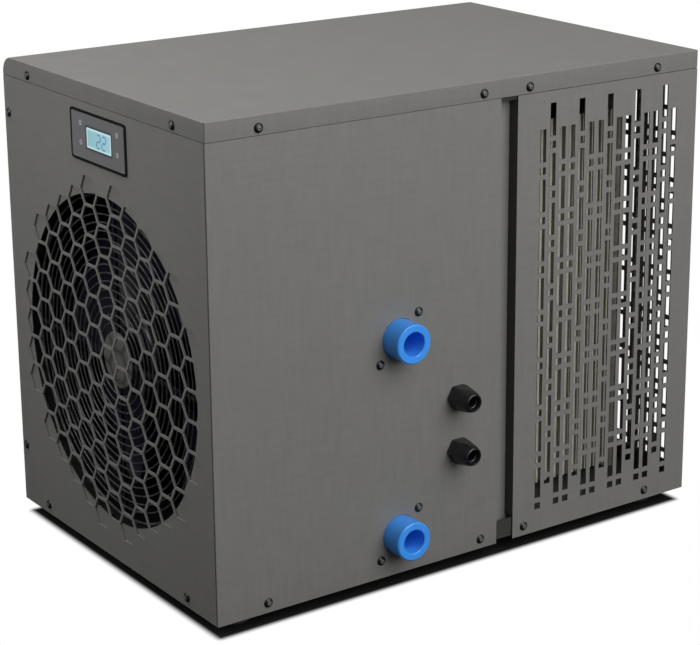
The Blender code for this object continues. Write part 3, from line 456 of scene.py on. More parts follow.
class Finish:
    """A material under way: its tree, its Principled shader and short ways to wire them."""

    def __init__(self, key, title, colour, roughness, metallic=0.0):
        material = bpy.data.materials.new(title)
        material.use_nodes = True
        FINISHES[key] = material
        self.tree = material.node_tree
        self.shader = self.tree.nodes["Principled BSDF"]
        self.roughness = roughness
        self.paint((*colour, 1.0))
        self.give("Roughness", roughness)
        self.give("Metallic", metallic)

    def give(self, label, value):
        """Set one of the shader's inputs, or link it."""
        feed(self.tree, self.shader.inputs[label], value)

    def paint(self, colour):
        """Make a colour or an output the base colour, and keep it for what comes over it."""
        self.colour = colour
        self.give("Base Color", colour)

    def shade(self, value):
        """Multiply the base colour by a value that changes over the surface."""
        self.paint(mix_colour(self.tree, 1.0, self.colour, value, "MULTIPLY"))

    def blend(self, mask, colour):
        """Lay another colour over the base colour by a mask."""
        self.paint(mix_colour(self.tree, mask, self.colour, (*colour, 1.0)))

    def glow(self, colour, strength):
        """Let the surface shine by itself."""
        self.give("Emission Color", colour)
        self.give("Emission Strength", strength)

    def effect(self, key, **values):
        """Place a shared effect with its own values and return its outputs."""
        return add_node(self.tree, "Group", values, node_tree=EFFECTS[key]).outputs

    def relief(self, value, height, spread, strength, distance):
        """Let the gloss follow a value of 0 to 1, and raise the surface by a height."""
        if spread:
            low, high = self.roughness - spread, self.roughness + spread
            self.give("Roughness", map_range(self.tree, value, 0.0, 1.0, low, high, "LINEAR"))
        if strength:
            inputs = {"Strength": strength, "Distance": distance, "Height": height}
            self.give("Normal", add_node(self.tree, "Bump", inputs).outputs["Normal"])

    def brush(self, fineness, streaks, clouds, spread=0.0, strength=0.0, distance=0.0):
        """The brushed grain, with the gloss and the relief that follow it."""
        grain = self.effect("grain", Fineness=fineness, Streaks=streaks, Clouds=clouds)
        self.shade(grain["Shade"])
        self.relief(grain["Height"], grain["Height"], spread, strength, distance)

    def mould(self, fineness, spread, strength=0.0, distance=0.0):
        """The moulded skin, with the gloss and the relief that follow it."""
        skin = self.effect("skin", Fineness=fineness)
        self.relief(skin["Gloss"], skin["Height"], spread, strength, distance)

    def dust(self, amount, colour):
        """Thin dust on what looks up."""
        self.blend(self.effect("dust", Amount=amount)["Mask"], colour)


def make_finishes(colours):
    """Build every material once, from the panel's colours."""
    EFFECTS.update(grain=make_brushed_grain(), skin=make_moulded_skin(), dust=make_settled_dust())
    make_paints(colours.paint)
    make_plastics(colours.stubs)
    make_metals(colours.fins)
    make_display_finishes(colours.display)


def make_paints(colour):
    """The powder coat on the sheets, its copy with painted shade on left-facing faces, and darker and
    lighter copies that paint shade and light.
    """
    for key, title in (("paint", "Grey powder coat"), ("left_shaded_paint", "Grey coat, painted shade on left-facing faces")):
        paint = Finish(key, title, colour, 0.46)
        paint.brush(330.0, 0.16, 0.06, 0.05, 0.10, 0.00012)
        if key == "left_shaded_paint":
            # Painted shade: faces that look to the left, such as the groove's wall, go nearly black.
            paint.shade(painted_side_shade(paint.tree, "X", 0.18))
    # Darker and lighter copies of the paint: painted shade inside and on the guard's disc, painted
    # light in the groove.
    for key, title, share in (("inner_painted_shade", "Coat darkened for painted shade inside", 0.22),
                              ("disc_painted_shade", "Coat on the guard's disc, darkened for painted shade", 0.60),
                              ("groove_painted_light", "Coat in the groove, lightened for painted light", 1.1)):
        tone = Finish(key, title, [part * share for part in colour], 0.55)
        tone.brush(200.0, 0.12, 0.10, 0.0, 0.12, 0.00015)


def make_plastics(stub_colour):
    """The moulded pieces, the coated wire, the screws with their painted highlight, and the motor's
    paint.
    """
    black = Finish("black_plastic", "Black moulded plastic", (0.010, 0.010, 0.011), 0.34)
    black.mould(1100.0, 0.08, 0.18, 0.00008)
    screw = Finish("screw", "Black screw coating with painted highlight", (0.008, 0.008, 0.009), 0.34)
    # Painted highlight: light grey on the faces of each head that look straight out.
    screw.blend(painted_highlight_mask(screw.tree), (0.20, 0.20, 0.20))
    screw.mould(1800.0, 0.08, 0.10, 0.00005)
    blue = Finish("blue_plastic", "Blue moulded plastic", stub_colour, 0.36)
    blue.mould(900.0, 0.06, 0.10, 0.00006)
    blue.brush(120.0, 0.05, 0.10)
    blue.give("Coat Weight", 0.15)
    wire = Finish("wire", "Dark coated wire", (0.070, 0.070, 0.072), 0.38, 0.1)
    wire.mould(700.0, 0.07, 0.15, 0.00006)
    blade = Finish("blade", "Dark moulded blade", (0.010, 0.011, 0.020), 0.32)
    blade.mould(500.0, 0.10, 0.12, 0.00008)
    blade.dust(0.15, (0.04, 0.04, 0.05))
    motor = Finish("motor", "Dark motor paint", (0.011, 0.011, 0.012), 0.5)
    motor.mould(600.0, 0.08, 0.15, 0.0001)
    rubber = Finish("rubber", "Black rubber", (0.030, 0.030, 0.031), 0.72)
    rubber.mould(500.0, 0.10, 0.30, 0.00015)
    rubber.dust(0.35, (0.20, 0.19, 0.17))


def make_metals(fin_colour):
    """The galvanised sheet, the fins, with painted shade that darkens them with depth, and the copper.
    """
    zinc = Finish("galvanised", "Galvanised sheet", (0.42, 0.40, 0.34), 0.45, 0.3)
    inputs = {"Vector": object_vector(zinc.tree), "Scale": 190.0}
    spangle = add_node(zinc.tree, "TexVoronoi", inputs).outputs["Color"]
    tone, gloss = add_node(zinc.tree, "SeparateColor", {0: spangle}).outputs[:2]
    zinc.shade(map_range(zinc.tree, tone, 0.0, 1.0, 0.82, 1.12, "LINEAR"))
    zinc.relief(gloss, None, 0.08, 0.0, 0.0)
    fins = Finish("fins", "Coated fin foil with painted depth shade", fin_colour, 0.45, 0.1)
    fins.brush(420.0, 0.35, 0.25, 0.10, 0.3, 0.0002)
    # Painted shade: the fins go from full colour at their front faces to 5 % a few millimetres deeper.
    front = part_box("coil_fins")[0].y
    fins.shade(fade_along(fins.tree, "Y", front + 0.0010, front + 0.0040, 1.0, 0.05))
    copper = Finish("copper", "Copper tube", (0.62, 0.27, 0.15), 0.34, 0.95)
    copper.brush(160.0, 0.20, 0.35, 0.12)


def make_display_finishes(film_colour):
    """The film, the marks, the digits, and the lit window with its light border."""
    low, high = glass_box()
    centre, half = (low + high) / 2, (high - low) / 2
    film = Finish("film", "Grey display film", film_colour, 0.33)
    film.mould(1500.0, 0.05, 0.06, 0.00004)
    distance = box_distance(film.tree, centre, (1.0, half.y, half.z))
    film.blend(map_range(film.tree, distance, 0.0005, 0.0030, 0.85, 0.0), (0.030, 0.065, 0.075))
    marks = Finish("marks", "Printed marks", (0.55, 0.55, 0.56), 0.5)
    marks.mould(1500.0, 0.05)
    digits = Finish("digits", "Blue digits", (0.008, 0.020, 0.030), 0.3)
    digits.mould(1500.0, 0.05)
    digits.glow((0.100, 0.240, 0.340, 1.0), 1.0)
    lit = Finish("lit", "Lit display window", (0.05, 0.08, 0.08), 0.16)
    across = fade_along(lit.tree, "Y", high.y, low.y)
    teal, blue = (0.250, 0.500, 0.530, 1.0), (0.350, 0.560, 0.700, 1.0)
    pale = (0.560, 0.740, 0.760, 1.0)
    border = 0.0022
    distance = box_distance(lit.tree, centre, (1.0, half.y - border, half.z - border))
    edge = map_range(lit.tree, distance, 0.0002, 0.0014)
    lit.glow(mix_colour(lit.tree, edge, mix_colour(lit.tree, across, teal, blue), pale), 0.9)


def finish_nodes(finish, *nodes):
    """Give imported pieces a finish."""
    for node in nodes:
        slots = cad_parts[node].data.materials
        slots.clear()
        slots.append(FINISHES[finish])


# Settings


def colour_property(name, description, default):
    """A colour setting."""
    return bpy.props.FloatVectorProperty(
        name=name, description=description, subtype="COLOR", size=3, min=0.0, max=1.0, default=default)


def length_property(name, description, default):
    """A length setting in metres."""
    return bpy.props.FloatProperty(
        name=name, description=description, unit="LENGTH", min=0.0, precision=5, default=default)


def number_property(name, description, default, least=0.0):
    """A plain number and the least that it may be."""
    return bpy.props.FloatProperty(name=name, description=description, min=least, default=default)


class FinishSettings(bpy.types.PropertyGroup):
    paint: colour_property("Paint", "Powder coat of the cabinet", (0.190, 0.187, 0.178))
    stubs: colour_property("Stubs", "Blue of the water stubs", (0.055, 0.340, 1.000))
    fins: colour_property("Fins", "Coating of the evaporator's fins", (0.80, 0.78, 0.64))
    display: colour_property("Display", "Film round the display's window", (0.185, 0.185, 0.190))


class CabinetSettings(bpy.types.PropertyGroup):
    corner_bend: length_property("Corner bend", "Radius of the upright folds", 0.0006)
    lid_bend: length_property("Lid bend", "Radius of the lid's short bends", 0.0007)
    lid_back_bend: length_property("Lid back bend", "Radius along the lid's back edge", 0.014)
    corner_slit: length_property("Corner slit", "Setback of the lid's front flange ends", 0.0003)


class ScrewSettings(bpy.types.PropertyGroup):
    head_radius: length_property("Head radius", "Radius of a screw head", 0.00385)
    head_rise: length_property("Head rise", "Height of a screw head's dome", 0.0021)
    from_top: length_property("From top", "Distance of the top row from the lid's top", 0.0096)
    from_edge: length_property("From edge", "Distance of the bottom row from the edge", 0.0082)
    from_end: length_property("From end", "Distance of the outer screws from the ends", 0.0450)
    from_back: length_property("From back", "Distance of the back edge's screws from the back", 0.0077)
    beside_groove: length_property("Beside groove", "Distance left of the groove", 0.0173)
    beside_intake: length_property("Beside intake", "Distance right of the groove", 0.0116)
    stub_offset: length_property("Stub offset", "Offset of a stub's two screws", 0.0183)


class FanSettings(bpy.types.PropertyGroup):
    hub_disc: length_property("Hub disc", "Radius of the guard's disc", 0.023)
    ring_pitch: length_property("Ring pitch", "Distance between the guard's rings", 0.00672)
    wire: length_property("Wire", "Thickness of the guard's wire", 0.0015)
    rib: length_property("Rib", "Width of the guard's ribs", 0.003)
    rotor_hub: length_property("Rotor hub", "Radius of the rotor's hub", 0.032)
    tip_gap: length_property("Tip gap", "Gap between the blades and the collar", 0.008)
    blades: bpy.props.IntProperty(name="Blades", description="Number of blades", default=5, min=2)


class StageSettings(bpy.types.PropertyGroup):
    lens: number_property("Lens", "Focal length on a 36 mm sensor", 110.03, 20.0)
    key: number_property("Key", "Power of the front lamp in watts", 31.0)
    side: number_property("Side", "Power of the lamp beside the left end in watts", 2.0)
    top: number_property("Top", "Power of the lamp overhead in watts", 22.0)
    fill: number_property("Fill", "Strength of the even light all round", 0.16)


# Cabinet


class HEATPUMP_OT_cabinet(bpy.types.Operator):
    """Fold the service panel and the back, and paint every sheet of the cabinet"""

    bl_idname = "heatpump.cabinet"
    bl_label = "Cabinet"

    def execute(self, context):
        fold = context.scene.heatpump_cabinet.corner_bend
        self.service_panel(fold)
        self.back_panel(fold)
        self.seal()
        finish_nodes("paint", "end_panel", "fan_panel")
        # The centre post in the groove takes a lighter copy of the paint as painted light.
        finish_nodes("groove_painted_light", "centre_post")
        # The intake panel takes the paint with painted shade on its left-facing faces.
        finish_nodes("left_shaded_paint", "intake_panel")
        # The base pan takes a darker copy of the paint as painted shade inside the cabinet.
        finish_nodes("inner_painted_shade", "base_pan")
        return {"FINISHED"}

    def service_panel(self, fold):
        """The plain front panel with its stub and gland holes and its fold into the groove."""
        plan = [(LEFT, FRONT)] + arc((GROOVE_LEFT - fold, FRONT + fold), fold, 270, 360, 4)
        plan.append((GROOVE_LEFT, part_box("service_panel")[1].y))
        stub_gap, gland_hole = 0.0003, 0.0079
        holes = []
        for node in (*STUBS, "gland_body_upper", "gland_body_lower"):
            low, high, middle = measure(node)
            radius = (high.x - low.x) / 2 + stub_gap if node in STUBS else gland_hole
            stand = stand_at((middle.x, FRONT, middle.z), OUTWARD["front"])
            holes.append(ring_loop(stand, radius, 64))
        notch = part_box("base_pan")[1].z + 0.0006
        bent_sheet("service_panel_sheet", plan, PANEL_BOTTOM, PANEL_TOP, ["service_panel"],
                   holes, notch)

    def back_panel(self, fold):
        """The plain back, folded round both back edges."""
        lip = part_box("back_panel")[0].y
        plan = [(RIGHT, lip)] + arc((RIGHT - fold, BACK - fold), fold, 0, 90, 4)
        plan += arc((LEFT + fold, BACK - fold), fold, 90, 180, 4) + [(LEFT, lip)]
        bent_sheet("back_panel_sheet", plan, PANEL_BOTTOM, PANEL_TOP, ["back_panel"])

    def seal(self):
        """The dark strip behind the seam under the lid, all round."""
        inset, below, above = SHEET + 0.0003, 0.0035, 0.003
        x0, x1, y0, y1 = LEFT + inset, RIGHT - inset, FRONT + inset, BACK - inset
        plan = [(x0, y0), (x1, y0), (x1, y1), (x0, y1), (x0, y0)]
        bent_sheet("lid_seal", plan, LID_BOTTOM - below, LID_BOTTOM + above, finish="rubber")


class HEATPUMP_OT_lid(bpy.types.Operator):
    """Fold the lid with its short bends, its wide back bend and its open front corners"""

    bl_idname = "heatpump.lid"
    bl_label = "Lid"

    def execute(self, context):
        settings = context.scene.heatpump_cabinet
        bend, wide, slit = settings.lid_bend, settings.lid_back_bend, settings.corner_slit
        front = arc((FRONT + bend, LID_TOP - bend), bend, 180, 90, 5)
        back = arc((BACK - wide, LID_TOP - wide), wide, 90, 0, 14)
        section = [(FRONT, LID_BOTTOM)] + front + back + [(BACK, LID_BOTTOM)]
        normals = [(-1.0, 0.0)]
        normals += [((y - FRONT - bend) / bend, (z - LID_TOP + bend) / bend) for y, z in front]
        normals += [((y - BACK + wide) / wide, (z - LID_TOP + wide) / wide) for y, z in back]
        normals.append((1.0, 0.0))
        top = len(front)
        inner = (LEFT + bend, RIGHT - bend)
        bm = bmesh.new()
        across = (LEFT + slit, *inner, RIGHT - slit)
        add_skin(bm, [[(x, *point) for x in across] for point in section[:top + 1]])
        add_skin(bm, [[(x, *point) for x in inner] for point in section[top:]])
        for end, way in ((LEFT, 1), (RIGHT, -1)):
            rows = [self.end_row(end, way, bend, point, normal)
                    for point, normal in zip(section[top:], normals[top:])]
            add_skin(bm, rows)
            flange = [row[-1] for row in rows] + [(end, FRONT + bend, LID_BOTTOM)]
            bm.faces.new([bm.verts.new(corner) for corner in flange])
        face_out(bm, CABINET_MIDDLE)
        give_thickness(add_piece("lid_sheet", bm, "paint", replaces=["lid"]), SHEET)
        return {"FINISHED"}

    def end_row(self, end, way, bend, point, normal, steps=5):
        """Points round the bend from the top or back into an end flange."""
        row = []
        for step in range(steps + 1):
            angle = math.pi / 2 * step / steps
            drop = bend * (1 - math.cos(angle))
            row.append((end + way * bend * (1 - math.sin(angle)),
                        point[0] - normal[0] * drop, point[1] - normal[1] * drop))
        return row


class HEATPUMP_OT_screws(bpy.types.Operator):
    """Set the black domed screws with their cross recesses"""

    bl_idname = "heatpump.screws"
    bl_label = "Screws"

    def execute(self, context):
        settings = context.scene.heatpump_screws
        head = self.head_mesh(settings.head_radius, settings.head_rise)
        xs = (LEFT + settings.from_end, GROOVE_LEFT - settings.beside_groove,
              GROOVE_RIGHT + settings.beside_intake, RIGHT - settings.from_end)
        ys = (FRONT + settings.from_end, BACK - settings.from_end)
        self.place("lid_screws", head, self.round_cabinet(xs, ys, LID_TOP - settings.from_top))
        spots = self.round_cabinet(xs, ys, PANEL_BOTTOM + settings.from_edge)
        upper, lower = 0.3424, 0.0514
        for rise in (upper, lower):
            for x, side in ((LEFT, "left"), (RIGHT, "right")):
                spots.append(((x, BACK - settings.from_back, PANEL_BOTTOM + rise), side))
        self.place("panel_screws", head, spots)
        spots = []
        for node in STUBS:
            middle = measure(node)[2]
            for offset in (settings.stub_offset, -settings.stub_offset):
                spots.append(((middle.x + offset, FRONT, middle.z + offset), "front"))
        self.place("stub_screws", head, spots)
        bpy.data.meshes.remove(head)
        return {"FINISHED"}

    def round_cabinet(self, xs, ys, height):
        """The places of one row of screws round the four sides."""
        spots = [((x, y, height), side) for y, side in ((FRONT, "front"), (BACK, "back")) for x in xs]
        spots += [((x, y, height), side) for x, side in ((LEFT, "left"), (RIGHT, "right")) for y in ys]
        return spots

    def head_mesh(self, radius, rise):
        """One head: a dome with a cross recess."""
        profile = soften([(0, 0), (0, radius), (rise * 0.22, radius), (rise * 0.70, radius * 0.74),
                          (rise * 0.97, radius * 0.36), (rise, 0)], radius * 0.2)
        bm = bmesh.new()
        lathe(bm, profile, Matrix.Identity(4), 32)
        head = link_mesh("head", bm)
        length, width = radius * 0.60, radius * 0.12
        for turn in (0, 90):
            bar = bmesh.new()
            bmesh.ops.create_cube(bar, size=1)
            for vert in bar.verts:
                narrow, height = (1.0, rise * 1.05) if vert.co.z > 0 else (0.45, rise * 0.25)
                vert.co = Vector((vert.co.x * length * narrow, vert.co.y * width, height))
            bmesh.ops.rotate(bar, verts=bar.verts, matrix=Matrix.Rotation(math.radians(turn), 3, "Z"))
            cut_now(head, link_mesh("recess", bar))
        mesh = head.data
        bpy.data.objects.remove(head)
        return mesh

    def place(self, name, head, spots):
        """Copies of the head in one piece."""
        turn_between = math.radians(37.0)
        bm = bmesh.new()
        for index, (spot, side) in enumerate(spots):
            part = bmesh.new()
            part.from_mesh(head)
            turn = Matrix.Rotation(turn_between * index, 4, "Z")
            bmesh.ops.transform(part, matrix=stand_at(spot, OUTWARD[side]) @ turn, verts=part.verts)
            add_mesh(bm, part)
        add_piece(name, bm, "screw", smooth=40.0)


def cut_now(obj, cutter):
    """Cut an object by another at once and drop the cutter."""
    boolean = obj.modifiers.new("cut", "BOOLEAN")
    boolean.operation = "DIFFERENCE"
    boolean.solver = "EXACT"
    boolean.object = cutter
    bpy.context.view_layer.update()
    graph = bpy.context.evaluated_depsgraph_get()
    mesh = bpy.data.meshes.new_from_object(obj.evaluated_get(graph))
    obj.modifiers.clear()
    spent = (obj.data, cutter.data)
    obj.data = mesh
    bpy.data.objects.remove(cutter)
    for old in spent:
        bpy.data.meshes.remove(old)


# Fan outlet


class HEATPUMP_OT_fan(bpy.types.Operator):
    """Build the collar, the ring guard and the rotor behind the honeycomb"""

    bl_idname = "heatpump.fan"
    bl_label = "Fan outlet"

    def execute(self, context):
        settings = context.scene.heatpump_fan
        opening = GUARD_RADIUS + 0.0003
        self.collar(opening)
        self.guard(settings)
        self.rotor(settings, opening - settings.tip_gap)
        finish_nodes("motor", "fan_motor", "motor_plate", "motor_rail_front", "motor_rail_back")
        return {"FINISHED"}

    def collar(self, radius):
        """The plate with the round opening and the collar behind it."""
        low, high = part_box("fan_shroud")
        corners = [(low.x, low.y, low.z), (low.x, high.y, low.z),
                   (low.x, high.y, high.z), (low.x, low.y, high.z)]
        depth = high.x - low.x
        profile = [(0.0001, radius), (depth - 0.008, radius), (depth - 0.004, radius + 0.002),
                   (depth - SHEET * 0.6, radius + 0.007)]
        rings = [ring_loop(stand_at((low.x + along, *FAN_AXIS.yz), OUTWARD["right"]), size, 128)
                 for along, size in profile]
        plates("fan_plate", [[corners, rings[0]]], SHEET, "paint", ["fan_shroud"])
        bm = bmesh.new()
        add_skin(bm, rings, closed=True)
        face_out(bm, FAN_AXIS)
        bmesh.ops.reverse_faces(bm, faces=bm.faces)
        give_thickness(add_piece("fan_collar", bm, "black_plastic"), SHEET)

    def guard(self, settings):
        """Wire rings on four ribs, with a rim and a plain hub disc."""
        wire, disc, rim_wire = settings.wire / 2, settings.hub_disc, 0.0013
        stand = stand_at((GUARD_LOW.x + wire, *FAN_AXIS.yz), OUTWARD["right"])
        bm = bmesh.new()
        radius = disc + settings.ring_pitch
        while radius + settings.wire < GUARD_RADIUS - 2 * rim_wire:
            add_torus(bm, stand, radius, wire)
            radius += settings.ring_pitch
        rim = stand @ Matrix.Translation((0, 0, wire))
        add_torus(bm, rim, GUARD_RADIUS - rim_wire, rim_wire, 128)
        add_piece("guard_rings", bm, "wire", replaces=["fan_guard"], smooth=60.0)
        inner, outer, depth = disc * 0.9, GUARD_RADIUS - 0.001, 0.0022
        size = Matrix.Diagonal((outer - inner, settings.rib, depth, 1))
        shift = Matrix.Translation(((outer + inner) / 2, 0, wire + 0.0006))
        bm = bmesh.new()
        for quarter in range(4):
            turn = stand @ Matrix.Rotation(math.radians(90 * quarter), 4, "Z")
            bar = bmesh.new()
            bmesh.ops.create_cube(bar, size=1)
            bmesh.ops.transform(bar, matrix=turn @ shift @ size, verts=bar.verts)
            add_mesh(bm, bar)
        break_edges(add_piece("guard_ribs", bm, "blade"), 0.0004)
        profile = soften([(-wire, 0), (-wire, disc * 0.90), (-wire * 0.4, disc), (wire, disc),
                          (wire + 0.001, disc * 0.92), (wire + 0.001, 0)], 0.002)
        # The disc takes a darker copy of the paint as painted shade.
        turned_piece("guard_disc", profile, stand, 96, "disc_painted_shade", "grey_paint")

    def rotor(self, settings, tip):
        """The blades on their hub, turning with the rotor."""
        low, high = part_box("fan_rotor")
        nose, hub, shaft = 0.008, settings.rotor_hub, 0.004
        spot = Vector((low.x + nose, *FAN_AXIS.yz))
        end = high.x - spot.x
        profile = soften([(-nose, 0), (-nose, hub * 0.55), (-0.0045, hub * 0.90), (0.0, hub),
                          (0.034, hub), (0.034, shaft), (end, shaft), (end, 0)], 0.0025)
        bm = bmesh.new()
        lathe(bm, profile, stand_at(spot, OUTWARD["right"]), 72)
        for blade in range(settings.blades):
            self.blade(bm, spot, 2 * math.pi * blade / settings.blades, hub - 0.003, tip)
        add_piece("rotor_blades", bm, "blade", body="rotor",
                  replaces=["fan_rotor"], smooth=45.0)

    def blade(self, bm, spot, turn, root, tip):
        """One blade: cambered sections from root to tip, thin at both edges."""
        stations, chords = 14, 12
        depth, thickness, camber_height = 0.030, 0.0026, 0.003
        root_span, wider, sweep, untwist, rounded_from = 46, 12, 22, 0.35, 0.9
        sections = []
        for station in range(stations):
            share = station / (stations - 1)
            radius = root + (tip - root) * share
            span = math.radians(root_span + wider * share)
            middle = math.radians(sweep) * share
            twist = 1 - untwist * share
            if share > rounded_from:
                span *= 1 - (share - rounded_from) * 1.2
            front, behind = [], []
            for k in range(chords + 1):
                chord = k / chords - 0.5
                angle = turn + middle + span * chord
                camber = camber_height * (1 - (2 * chord) ** 2)
                half = thickness / 2 * max(0.25, (1 - abs(2 * chord) ** 3))
                along = depth * (0.5 + chord * twist) + camber
                for row, sign in ((front, -1), (behind, 1)):
                    row.append(spot + Vector((along + sign * half, radius * math.cos(angle),
                                              radius * math.sin(angle))))
            sections.append(front + behind[::-1])
        rows = add_skin(bm, sections, closed=True)
        ends = [bm.faces.new(rows[0][::-1]), bm.faces.new(rows[-1])]
        bmesh.ops.triangulate(bm, faces=ends)
        bmesh.ops.recalc_face_normals(bm, faces=bm.faces)


# Evaporator


class HEATPUMP_OT_evaporator(bpy.types.Operator):
    """Finish the fins and plates and add the return bends"""

    bl_idname = "heatpump.evaporator"
    bl_label = "Evaporator"

    def execute(self, context):
        finish_nodes("fins", "coil_fins")
        finish_nodes("galvanised", "coil_plate_left")
        self.end_plate()
        low, high, middle = measure("coil_fins")
        pitch = 0.0127
        bends = int((high.z - low.z) / (2 * pitch))
        first = middle.z - (bends - 0.5) * pitch
        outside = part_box("coil_plate_right")[0].x + SHEET
        bm = bmesh.new()
        for index in range(bends):
            self.bend(bm, Vector((outside, middle.y, first + 2 * index * pitch)), pitch)
        add_piece("coil_bends", bm, "copper", smooth=50.0)
        return {"FINISHED"}

    def end_plate(self):
        """The right end plate with its two flanges, up to the lid."""
        low, high, middle = measure("coil_plate_right")
        flange = 0.0102
        wide = low.x + flange
        plan = [(wide, low.y), (low.x, low.y), (low.x, high.y), (wide, high.y)]
        bent_sheet("coil_end_plate", plan, low.z, LID_BOTTOM, ["coil_plate_right"],
                   finish="galvanised", inside=Vector((wide, *middle.yz)))

    def bend(self, bm, spot, pitch, tube=0.0025, sides=14, steps=12):
        """One return bend, standing out of the end plate towards the right."""
        path = [(-SHEET / 2, 0.0, 0.0)]
        for step in range(steps + 1):
            angle = math.pi * step / steps
            path.append((pitch / 2 * math.sin(angle), pitch / 2 * (1 - math.cos(angle)), angle))
        path.append((-SHEET / 2, pitch, math.pi))
        rings = []
        for along, rise, angle in path:
            centre = spot + Vector((along, 0, rise))
            side = Vector((0, tube, 0))
            outward = Vector((math.sin(angle), 0, -math.cos(angle))) * tube
            turns = [2 * math.pi * i / sides for i in range(sides)]
            rings.append([centre + side * math.cos(t) + outward * math.sin(t) for t in turns])
        rows = add_skin(bm, rings, closed=True)
        bm.faces.new(rows[0][::-1])
        bm.faces.new(rows[-1])
        bmesh.ops.recalc_face_normals(bm, faces=bm.faces)


# Water stubs, glands and feet


class HEATPUMP_OT_stubs(bpy.types.Operator):
    """Mould the two blue water stubs"""

    bl_idname = "heatpump.stubs"
    bl_label = "Water stubs"

    def execute(self, context):
        bore, edge = 0.0098, 0.0009
        for node in STUBS:
            low, high, middle = measure(node)
            radius, length = (high.x - low.x) / 2, high.y - low.y
            profile = [(0, bore), (0, radius), (length - edge, radius), (length, radius - edge),
                       (length, bore + 0.0006), (length - 0.0006, bore), (length * 0.3, bore),
                       (length * 0.3, bore + 0.0008), (0.004, bore + 0.0008)]
            stand = stand_at((middle.x, high.y, middle.z), OUTWARD["front"])
            turned_piece(f"{node}_tube", profile, stand, 96, "blue_plastic", "blue_plastic",
                         [node], 30.0, closed=True)
        return {"FINISHED"}


class HEATPUMP_OT_glands(bpy.types.Operator):
    """Mould the cable glands: hexagon body and domed hexagon cap"""

    bl_idname = "heatpump.glands"
    bl_label = "Cable glands"

    def execute(self, context):
        turn = Matrix.Rotation(math.radians(30), 4, "Z")
        for side in ("upper", "lower"):
            low, high, middle = measure(f"gland_body_{side}")
            across = high.x - low.x - 0.0004
            stand = stand_at((middle.x, FRONT, middle.z), OUTWARD["front"]) @ turn
            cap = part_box(f"gland_cap_{side}")
            for name, node, profile in (
                    ("gland_hexagon", "gland_body", self.body(across / math.sqrt(3))),
                    ("gland_dome", "gland_cap", self.cap(FRONT - cap[1].y, FRONT - cap[0].y))):
                turned_piece(f"{name}_{side}", profile, stand, 96, "black_plastic", "black_plastic",
                             [f"{node}_{side}"], 25.0, flats=across, closed=True)
        return {"FINISHED"}

    def body(self, corner):
        """The body's profile: a thread through the panel and a hexagon before it."""
        bore, thread, hexagon, edge = 0.0054, 0.0076, 0.0063, 0.0008
        return [(-0.008, bore), (-0.008, 0.0072), (-0.0075, thread), (0.0003, thread),
                (0.0003, corner - 0.0006), (edge, corner), (hexagon - edge, corner),
                (hexagon, corner - edge), (hexagon, bore)]

    def cap(self, base, tip):
        """The cap's profile: a tapering hexagon, a round nose and the mouth in it."""
        return soften([(base, 0.0056), (base, 0.0106), (base + 0.0036, 0.0102),
                       (base + 0.0068, 0.0095), (base + 0.0108, 0.0088),
                       (tip - 0.0020, 0.0080), (tip - 0.0005, 0.0073), (tip, 0.0066),
                       (tip, 0.0060), (tip - 0.0018, 0.0055), (tip - 0.0040, 0.0053),
                       (tip - 0.0044, 0.0045), (base + 0.0006, 0.0045)], 0.0005, 3)


class HEATPUMP_OT_feet(bpy.types.Operator):
    """Mould the four rubber feet"""

    bl_idname = "heatpump.feet"
    bl_label = "Feet"

    def execute(self, context):
        edge = 0.0012
        for node in ("foot_front_left", "foot_front_right", "foot_back_left", "foot_back_right"):
            low, high, middle = measure(node)
            radius, height = (high.x - low.x) / 2, high.z - low.z
            profile = soften([(0.0, 0), (0.0, radius - edge), (edge, radius),
                              (height * 0.45, radius - 0.0002), (height, radius - 0.0026),
                              (height, 0)], edge)
            stand = stand_at((middle.x, middle.y, low.z), (0, 0, 1))
            turned_piece(f"rubber_{node}", profile, stand, 64, "rubber", "rubber", [node])
        return {"FINISHED"}


# Display

# The strokes of the digit 2 in a box of 1 by 1
DIGIT_TWO = (
    ((0, 1), (1, 1)),
    ((1, 1), (1, 0.5)),
    ((0, 0.5), (1, 0.5)),
    ((0, 0.5), (0, 0)),
    ((0, 0), (1, 0)),
)
# The digits' and the marks' places on the film, as across and up from its middle
DIGIT_PLACES = ((-0.0019, -0.0056), (0.0066, -0.0056))
MARK_PLACES = ((-0.0272, 0.0099), (-0.0272, -0.0054), (0.0308, 0.0099), (0.0308, -0.0054))
DIGIT_WIDTH, DIGIT_HEIGHT, DIGIT_BAR, DIGIT_SLANT = 0.0060, 0.0104, 0.0014, 0.1
PRINT_LIFT, PRINT_THICKNESS = 0.00008, 0.00006


def glass_box():
    """The display window's box, a little narrower and nearer the front."""
    low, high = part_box("display_window")
    shift, trim = 0.0019, 0.0006
    return (Vector((low.x, low.y - shift + trim, low.z)),
            Vector((high.x, high.y - shift - trim, high.z)))


